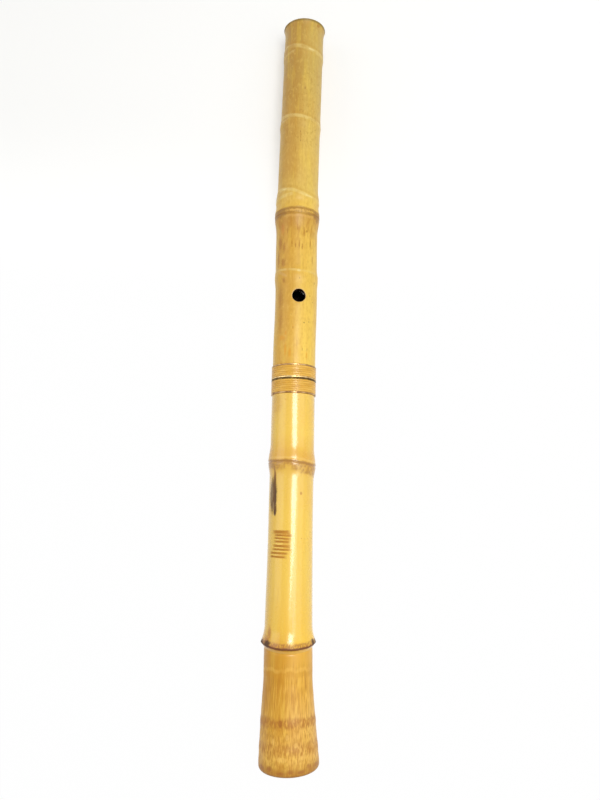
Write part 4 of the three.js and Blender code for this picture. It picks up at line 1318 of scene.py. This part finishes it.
def rattan():
    """Split cane: fine lines along the strand from its own map, and tones that change slowly on the way."""
    material, recipe, shader = new_material("varnished_rattan")
    stored = recipe.add("ShaderNodeUVMap", uv_map="place").outputs[0]
    stretched = recipe.add("ShaderNodeVectorMath", {0: stored, 1: (30.0, 90.0, 1.0)}, operation="MULTIPLY")
    lines = recipe.noise(stretched.outputs[0], 1.0, 3.0)
    slow = recipe.add("ShaderNodeVectorMath", {0: stored, 1: (0.5, 60.0, 1.0)}, operation="MULTIPLY")
    tone = recipe.noise(slow.outputs[0], 1.0, 2.0)
    stops = [(0.3, colour(212, 156, 44)), (0.5, colour(226, 173, 62)), (0.7, colour(238, 188, 80))]
    dark = recipe.math("MULTIPLY", recipe.ease(lines, 0.5, 0.75), 0.2)
    base = recipe.mix(dark, recipe.ramp(tone, stops), colour(196, 130, 34))
    dress(recipe, shader, base, recipe.ease(lines, 0.3, 0.7, 0.24, 0.4), lines, 0.5, 0.00005)
    return material


silver_material = silver("worn_silver", colour(206, 172, 122), colour(146, 104, 64), 0.50, 0.26)
# the upper joint face ring: a brighter copy of the silver, a painted highlight
painted_highlight_silver_material = silver("painted_highlight_silver", colour(226, 198, 140), colour(172, 130, 74), 0.56, 0.26)
# the lower joint face ring: a darker copy of the silver
dark_silver_material = silver("dark_face_silver", colour(132, 106, 58), colour(84, 62, 26), 0.48, 0.35)
rattan_material = rattan()
print("finishes:", len(bpy.data.materials))

# %% [markdown]
# ## The drills
# A hole in a flute is bored square to the skin and its edge is eased with a knife, so that the eased edge
# follows the round of the tube. A straight countersink would bite deep in front and behind and leave
# the sides sharp. The plug therefore has its own skin height for every direction round the hole:
# height = square root of (radius squared - offset across squared), and the rounding starts below that.

# %% Plugs for the holes
THUMB_ROLL = math.radians(8)
HOLE_RADIUS = 4.9
HOLE_EASE = 0.55
FLARE_OUT, FLARE_UP = 4.0, 2.8
PLUG_FOOT = 2.0
THUMB_HOLE_AT = 322.0
FINGER_HOLES_AT = [120.0, 174.5, 229.0, 283.5]


def hole_plug(name, at, front):
    """Plug whose rows go up the hole: straight wall, a rounding through 55 degrees, then a straight flare."""
    phi = np.linspace(0, 2 * np.pi, 64, endpoint=False)
    angle = np.radians(np.linspace(0, 55, 6))
    rounding_out = HOLE_EASE * (1 - np.cos(angle[1:]))
    rounding_up = HOLE_EASE * (np.sin(angle[1:]) - 1)
    out = np.concatenate([[0, 0], rounding_out, rounding_out[-1:] + FLARE_OUT])
    down = np.concatenate([[0, -HOLE_EASE], rounding_up, rounding_up[-1:] + FLARE_UP])
    radius = HOLE_RADIUS + out[:, None] + 0 * phi
    across, ahead_of = radius * np.sin(phi), radius * np.cos(phi)
    centre_turn = THUMB_ROLL + (math.pi if front else 0)
    skin_turn = (centre_turn + math.pi) % (2 * math.pi) - math.pi
    skin = skin_radius(np.full_like(radius, skin_turn), at + ahead_of)
    height = np.sqrt(skin**2 - across**2) + down[:, None]
    height[0] = PLUG_FOOT
    side = height * math.sin(centre_turn) + across * math.cos(centre_turn)
    up = height * math.cos(centre_turn) - across * math.sin(centre_turn)
    points = in_frame(side + sideways(at), at + ahead_of, up)
    turns = np.full(65, centre_turn if centre_turn < math.pi else centre_turn - 2 * math.pi)
    slots = [1, 1] + [0] * (len(out) - 2)
    materials = [cut_bamboo_material, bore_lacquer]
    return grid_piece(name, points, turns, at + ahead_of, slots, materials, closed=False)


thumb_plug = hole_plug("thumb_plug", THUMB_HOLE_AT, False)
finger_plugs = [hole_plug(f"finger_plug_{i + 1}", at, True) for i, at in enumerate(FINGER_HOLES_AT)]
print("plugs:", [plug.name for plug in [thumb_plug] + finger_plugs])

# %% [markdown]
# ## The blowing edge
# The player's breath splits on an edge at the front of the mouth. The maker saws the front of the tube away
# at thirty degrees until the slope meets the bore, and sets a piece of horn into the slope, because horn
# stays sharp and bamboo wears. The saw cut and the horn are both straight prisms, turned to the front.

# %% The saw cut and the inlay's prism
EDGE_DROP = 2.4
EDGE_SLOPE = math.radians(30)
SAW_REACH, SAW_OVER = 22.0, 5
INLAY_DEPTH = 2.6


def at_mouth(points):
    """Turns points (side, along, up), made with the front straight down, to the front at the mouth."""
    side, along, up = np.moveaxis(np.asarray(points, float), -1, 0)
    turned = side * math.cos(THUMB_ROLL) + up * math.sin(THUMB_ROLL)
    raised = -side * math.sin(THUMB_ROLL) + up * math.cos(THUMB_ROLL)
    return in_frame(turned + float(sideways(LENGTH)), along, raised)


def prism(name, start, end, material):
    """Plug between two outlines of equally many corners, wound the same way."""
    points = np.stack([at_mouth(start), at_mouth(end)])
    places = np.stack([np.asarray(start)[:, 1], np.asarray(end)[:, 1]])
    piece = grid_piece(name, points, np.zeros(points.shape[1] + 1), places, [0, 0], [material], closed=False)
    piece.data.polygons.foreach_set("use_smooth", np.zeros(len(piece.data.polygons), bool))
    return piece


def saw_cut():
    """Triangle in the flute's middle plane, drawn out to both sides: its slope passes through the edge."""
    top, edge = LENGTH + SAW_OVER, LENGTH - EDGE_DROP
    inner = -MOUTH_BORE + (top - edge) * math.tan(EDGE_SLOPE)
    foot = edge - (SAW_REACH - MOUTH_BORE) / math.tan(EDGE_SLOPE)
    outline = np.array([(inner, top), (-SAW_REACH, top), (-SAW_REACH, foot)])
    sides = [np.column_stack([np.full(3, x), outline[:, 1], outline[:, 0]]) for x in (-SAW_REACH, SAW_REACH)]
    return prism("saw_cut", sides[0], sides[1], cut_bamboo_material)


def inlay_prism(name, grow, material):
    """Four-cornered outline on the slope, wider at the edge, sunk square to the slope by its depth."""
    reach, half_top, half_foot, over = 9.0, 6.6, 3.8, 5.0
    widen = (half_top - half_foot) / reach
    corners = [(-(half_top + widen * over + grow), -over), (half_top + widen * over + grow, -over),
               (half_foot + grow, reach + grow), (-(half_foot + grow), reach + grow)]
    down = np.array([0, -math.cos(EDGE_SLOPE), -math.sin(EDGE_SLOPE)])
    outwards = np.cross([1.0, 0, 0], down)
    edge = np.array([0, LENGTH - EDGE_DROP, -MOUTH_BORE])
    flat = np.array([edge + x * np.array([1.0, 0, 0]) + y * down for x, y in corners])
    return prism(name, flat - (INLAY_DEPTH + grow) * outwards, flat + over * outwards, material)


saw = saw_cut()
pocket_plug = inlay_prism("pocket_plug", 0.05, cut_bamboo_material)
horn_plug = inlay_prism("horn_plug", 0.0, horn_material)
print("the blowing edge lies", EDGE_DROP, "mm below the mouth's end")

# %% [markdown]
# ## The two tubes
# Each tube is one closed wall. Its profile starts at the joint or the root, runs along the skin, turns over
# the rounded end and comes back along the bore. The skin's rows have a radius for every column; the others
# are plain circles. At the joint the wall is turned down by a millimetre, where the rings and the rattan sit.

# %% Tube walls
RECESS = 14.7
UPPER_FACE, LOWER_FACE = JOINT_AT + 0.15, JOINT_AT - 0.15
UPPER_COLLAR_END, LOWER_COLLAR_END = JOINT_AT + 10.1, JOINT_AT - 11.1


def tube_wall(name, before, rows, after, materials):
    """Closed wall: circles (radius, place, slot) before the skin, the skin's rows, and circles after it."""
    turns = turns_of(COLUMNS)
    turn = turns[:-1][None, :]
    skin = skin_radius(turn, rows[:, None])
    start, end = [np.array([circle[:2] for circle in part], float) for part in (before, after)]
    radius = np.vstack([start[:, :1] + 0 * turn, skin, end[:, :1] + 0 * turn])
    at = np.concatenate([start[:, 1], rows, end[:, 1]])
    slots = [circle[2] for circle in before] + [0] * len(rows) + [circle[2] for circle in after]
    points = on_culm(radius * np.sin(turn), at[:, None], radius * np.cos(turn))
    return grid_piece(name, points, turns, at, slots, materials)


def upper_wall(name):
    """The upper half's wall, with its mouth end eased on both edges."""
    rows = skin_rows(UPPER_COLLAR_END + 0.3, LENGTH - 0.4)
    rim = float(skin_radius(np.array(0.0), np.array(LENGTH - 0.4)))
    ease = [(r, s, 0) for r, s in arc(rim - 0.4, LENGTH - 0.4, 0.4, 105, 175, 5)]
    inner = [(r, s, 2) for r, s in arc(MOUTH_BORE + 0.5, LENGTH - 0.5, 0.5, 180, 265, 5)]
    inner[0] = (inner[0][0], inner[0][1], 1)
    step = float(skin_radius(np.array(0.0), np.array(UPPER_COLLAR_END + 0.3)))
    before = [(RECESS, UPPER_FACE, 1), (RECESS, UPPER_COLLAR_END, 1), (step - 0.25, UPPER_COLLAR_END, 0)]
    after = ease[:-1] + [(ease[-1][0], ease[-1][1], 1)] + inner + [
        (MOUTH_BORE, 540, 2), (MOUTH_BORE, 534, 2), (MOUTH_BORE, 527, 2), (NATURAL_BORE, 527, 1),
        (NATURAL_BORE, 388, 1), (NATURAL_BORE, 278.7, 1), (12.0, 278.7, 1), (12.0, UPPER_FACE, 1)]
    return tube_wall(name, before, rows, after, [upper_skin_material, cut_bamboo_material, bore_lacquer])


def lower_wall(name):
    """The lower half's wall: a rounded root end, the socket at the joint and the bore's flare at the root."""
    rows = skin_rows(2.02, LOWER_COLLAR_END - 0.3)
    foot = float(skin_radius(np.array(0.0), np.array(2.02)))
    ease = [(r, s, 0) for r, s in arc(foot - 2.0, 2.02, 2.0, 0, 82, 12)]
    step = float(skin_radius(np.array(0.0), np.array(LOWER_COLLAR_END - 0.3)))
    before = [(10.1, 0.02, 1), (12.5, 0.02, 1), (15.0, 0.02, 1)] + ease
    after = [(step - 0.25, LOWER_COLLAR_END, 1), (RECESS, LOWER_COLLAR_END, 1), (RECESS, LOWER_FACE, 1),
             (13.1, LOWER_FACE, 1), (13.1, 235.8, 1), (NATURAL_BORE, 235.8, 1)]
    after += [(NATURAL_BORE, s, 1) for s in np.linspace(110, 42, 10)]
    after += [(ROOT_BORE, s, 2) for s in np.linspace(42, 5, 8)] + [(9.5, 1.2, 2), (9.72, 0.25, 2)]
    return tube_wall(name, before, rows, after, [lower_skin_material, cut_bamboo_material, bore_lacquer])


upper_culm = upper_wall("upper_culm")
horn_inlay = upper_wall("horn_inlay")
lower_culm = lower_wall("lower_culm")
carve(horn_inlay, [saw])
horn_inlay.data.materials.clear()
horn_inlay.data.materials.append(horn_material)
horn_inlay.data.polygons.foreach_set("material_index", np.zeros(len(horn_inlay.data.polygons), np.int32))
carve(horn_inlay, [horn_plug], "INTERSECT")
carve(upper_culm, [thumb_plug, finger_plugs[3], saw, pocket_plug])
carve(lower_culm, finger_plugs[:3])
print("faces of the tubes:", len(upper_culm.data.polygons), len(lower_culm.data.polygons))

# %% [markdown]
# ## Inside the tubes
# The natural bore is wider than the finished one. The maker packs it with a paste and grinds that to a
# taper, so each half has a lining, lacquered, with the holes cut through it. The tenon that joins the
# halves is a sleeve of bamboo glued into the upper one, and the socket in the lower one is lined.

# %% Linings, tenon and socket liner
def revolved(name, profile, materials, columns=96):
    """Closed ring from a profile of (radius, place), turned round the flute's axis."""
    turns = turns_of(columns)
    radius, at = np.array(profile, float).T
    turn = turns[:-1][None, :]
    points = on_culm(radius[:, None] * np.sin(turn), at[:, None], radius[:, None] * np.cos(turn))
    piece = grid_piece(name, points, turns, at, [0] * len(profile), materials)
    piece.data.set_sharp_from_angle(angle=SHARP_FROM)
    return piece


def lining(name, start, end, plugs):
    """Wall between the natural bore and the finished one, with the holes cut through."""
    places = np.linspace(end, start, 40)
    outside = [(NATURAL_BORE - 0.06, s) for s in np.linspace(start, end, 30)]
    inside = [(float(bore_radius(s)), s) for s in places]
    return carve(revolved(name, outside + inside, [bore_lacquer]), plugs)


upper_bore_lining = lining("upper_bore_lining", 279.0, 526.9, [thumb_plug, finger_plugs[3]])
lower_bore_lining = lining("lower_bore_lining", 42.1, 235.8, finger_plugs[:3])
tenon_profile = [(10.9, 236.4), (11.5, 236.65), (11.7, 237.2), (11.7, 250), (11.7, 264), (11.7, 278.1),
                 (11.5, 278.4), (9.45, 278.4), (9.4, 278.2), (9.4, 264), (9.4, 250), (9.4, 236.9),
                 (9.7, 236.45)]
joint_tenon = revolved("joint_tenon", tenon_profile, [tenon_material])
liner_profile = [(12.8, 236.1), (12.8, 248), (12.8, LOWER_FACE), (12.3, LOWER_FACE),
                 (12.05, LOWER_FACE - 0.2), (12.0, LOWER_FACE - 0.6), (12.0, 248), (12.0, 236.1)]
joint_socket_liner = revolved("joint_socket_liner", liner_profile, [socket_lacquer])
discard(thumb_plug, *finger_plugs, saw, pocket_plug, horn_plug)
print("the tenon reaches", round(JOINT_AT - 236.4, 1), "mm into the socket")

# %% [markdown]
# ## Rings and rattan
# Four thin rings bound the joint, and between them each half is wound with split rattan in one strand. A
# neat winding does not climb like a screw thread: every turn lies flat against the last one, and the strand
# steps over to the next turn in one short stretch, which the maker keeps at the front, out of sight here.
# So the strand's place is its turn number plus a smooth step in the last part of each turn, and its section
# is a rounded oblong carried along that line.

# %% Rings
RING_RADIUS, RING_ROUNDING = 16.25, 0.3


def ring(name, start, end, material):
    """Thin ring standing half a millimetre proud, with rounded outer edges."""
    outer, size = RING_RADIUS * ROUND_IN_FLATS, RING_ROUNDING
    low = arc(outer - size, start + size, size, 0, 90, 6)
    high = arc(outer - size, end - size, size, 90, 180, 6)
    profile = [(RECESS + 0.04, start)] + low + high + [(RECESS + 0.04, end)]
    return revolved(name, profile, [material], columns=144)


upper_edge_band = ring("upper_edge_band", UPPER_COLLAR_END - 1.1, UPPER_COLLAR_END - 0.05, silver_material)
upper_face_band = ring("upper_face_band", UPPER_FACE, UPPER_FACE + 1.1, painted_highlight_silver_material)
lower_face_band = ring("lower_face_band", LOWER_FACE - 0.9, LOWER_FACE, dark_silver_material)
lower_edge_band = ring("lower_edge_band", LOWER_COLLAR_END + 0.05, LOWER_COLLAR_END + 1.1, silver_material)
print("the rings lie between", LOWER_COLLAR_END, "and", UPPER_COLLAR_END)

# %% Rattan
CANE_STEPS = 120
CANE_RADIUS = 15.43
CANE_HALF_THICKNESS = 0.7
CANE_SQUARENESS = 0.28
UPPER_CANE_TURNS, LOWER_CANE_TURNS = 5, 6


def winding(name, start, end, cane_turns):
    """One strand of so many turns between two places, with lids at its two ends."""
    pitch = (end - start) / cane_turns
    step = np.arange(cane_turns * CANE_STEPS + 1)
    turn_count = step / CANE_STEPS
    number = np.minimum(np.floor(turn_count), cane_turns - 1)
    over = smooth((turn_count - number - 0.92) / 0.08) * (number < cane_turns - 1)
    at = start + pitch * (number + 0.5 + over)
    turn = math.pi + THUMB_ROLL + 2 * np.pi * turn_count
    section = np.linspace(0, 2 * np.pi, 20, endpoint=False)
    wide = pitch * 0.497 * np.sign(np.cos(section)) * np.abs(np.cos(section)) ** CANE_SQUARENESS
    tall = CANE_HALF_THICKNESS * np.sign(np.sin(section)) * np.abs(np.sin(section)) ** CANE_SQUARENESS
    radius = CANE_RADIUS + tall[None, :] + 0 * at[:, None]
    place = at[:, None] + wide[None, :]
    points = on_culm(radius * np.sin(turn)[:, None], place, radius * np.cos(turn)[:, None])
    round_strand = np.linspace(-np.pi, np.pi, 21)
    length = turn_count * 2 * math.pi * CANE_RADIUS
    return grid_piece(name, points, round_strand, length, [0] * len(at), [rattan_material], closed=False)


upper_winding = winding("upper_winding", UPPER_FACE + 1.15, UPPER_COLLAR_END - 1.15, UPPER_CANE_TURNS)
lower_winding = winding("lower_winding", LOWER_COLLAR_END + 1.15, LOWER_FACE - 0.95, LOWER_CANE_TURNS)
strand = (UPPER_COLLAR_END - UPPER_FACE - 2.3) / UPPER_CANE_TURNS
print("strand", round(strand, 2), "mm wide on the upper half")

# %% [markdown]
# ## Riding on the frame
# Each piece stands for one CAD solid, which it hides, and moves with that solid's body; its row also lists
# the finish that the part's record keeps for it. The upper half moves with the body "upper", the liner with
# "socket", and the rest with "lower", so that a pose of the joint carries the right pieces.

# %% Which piece stands for which solid
PLACES = [
    (upper_culm, "upper_tube", "upper", "upper_bamboo"),
    (upper_bore_lining, "upper_lining", "upper", "bore_lacquer"),
    (joint_tenon, "tenon", "upper", "tenon_bamboo"),
    (horn_inlay, "mouth_inlay", "upper", "horn"),
    (upper_edge_band, "upper_edge_ring", "upper", "silver"),
    (upper_face_band, "upper_face_ring", "upper", "silver"),
    (upper_winding, "upper_binding", "upper", "rattan"),
    (joint_socket_liner, "socket_liner", "socket", "socket_lacquer"),
    (lower_culm, "lower_tube", "lower", "lower_bamboo"),
    (lower_bore_lining, "lower_lining", "lower", "bore_lacquer"),
    (lower_edge_band, "lower_edge_ring", "lower", "silver"),
    (lower_face_band, "lower_face_ring", "lower", "dark_silver"),
    (lower_winding, "lower_binding", "lower", "rattan"),
]
for piece, node, body, finish in PLACES:
    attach(piece, body)
    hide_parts(node)
    piece.data.calc_loop_triangles()
print("triangles:", {piece.name: len(piece.data.loop_triangles) for piece, *rest in PLACES})
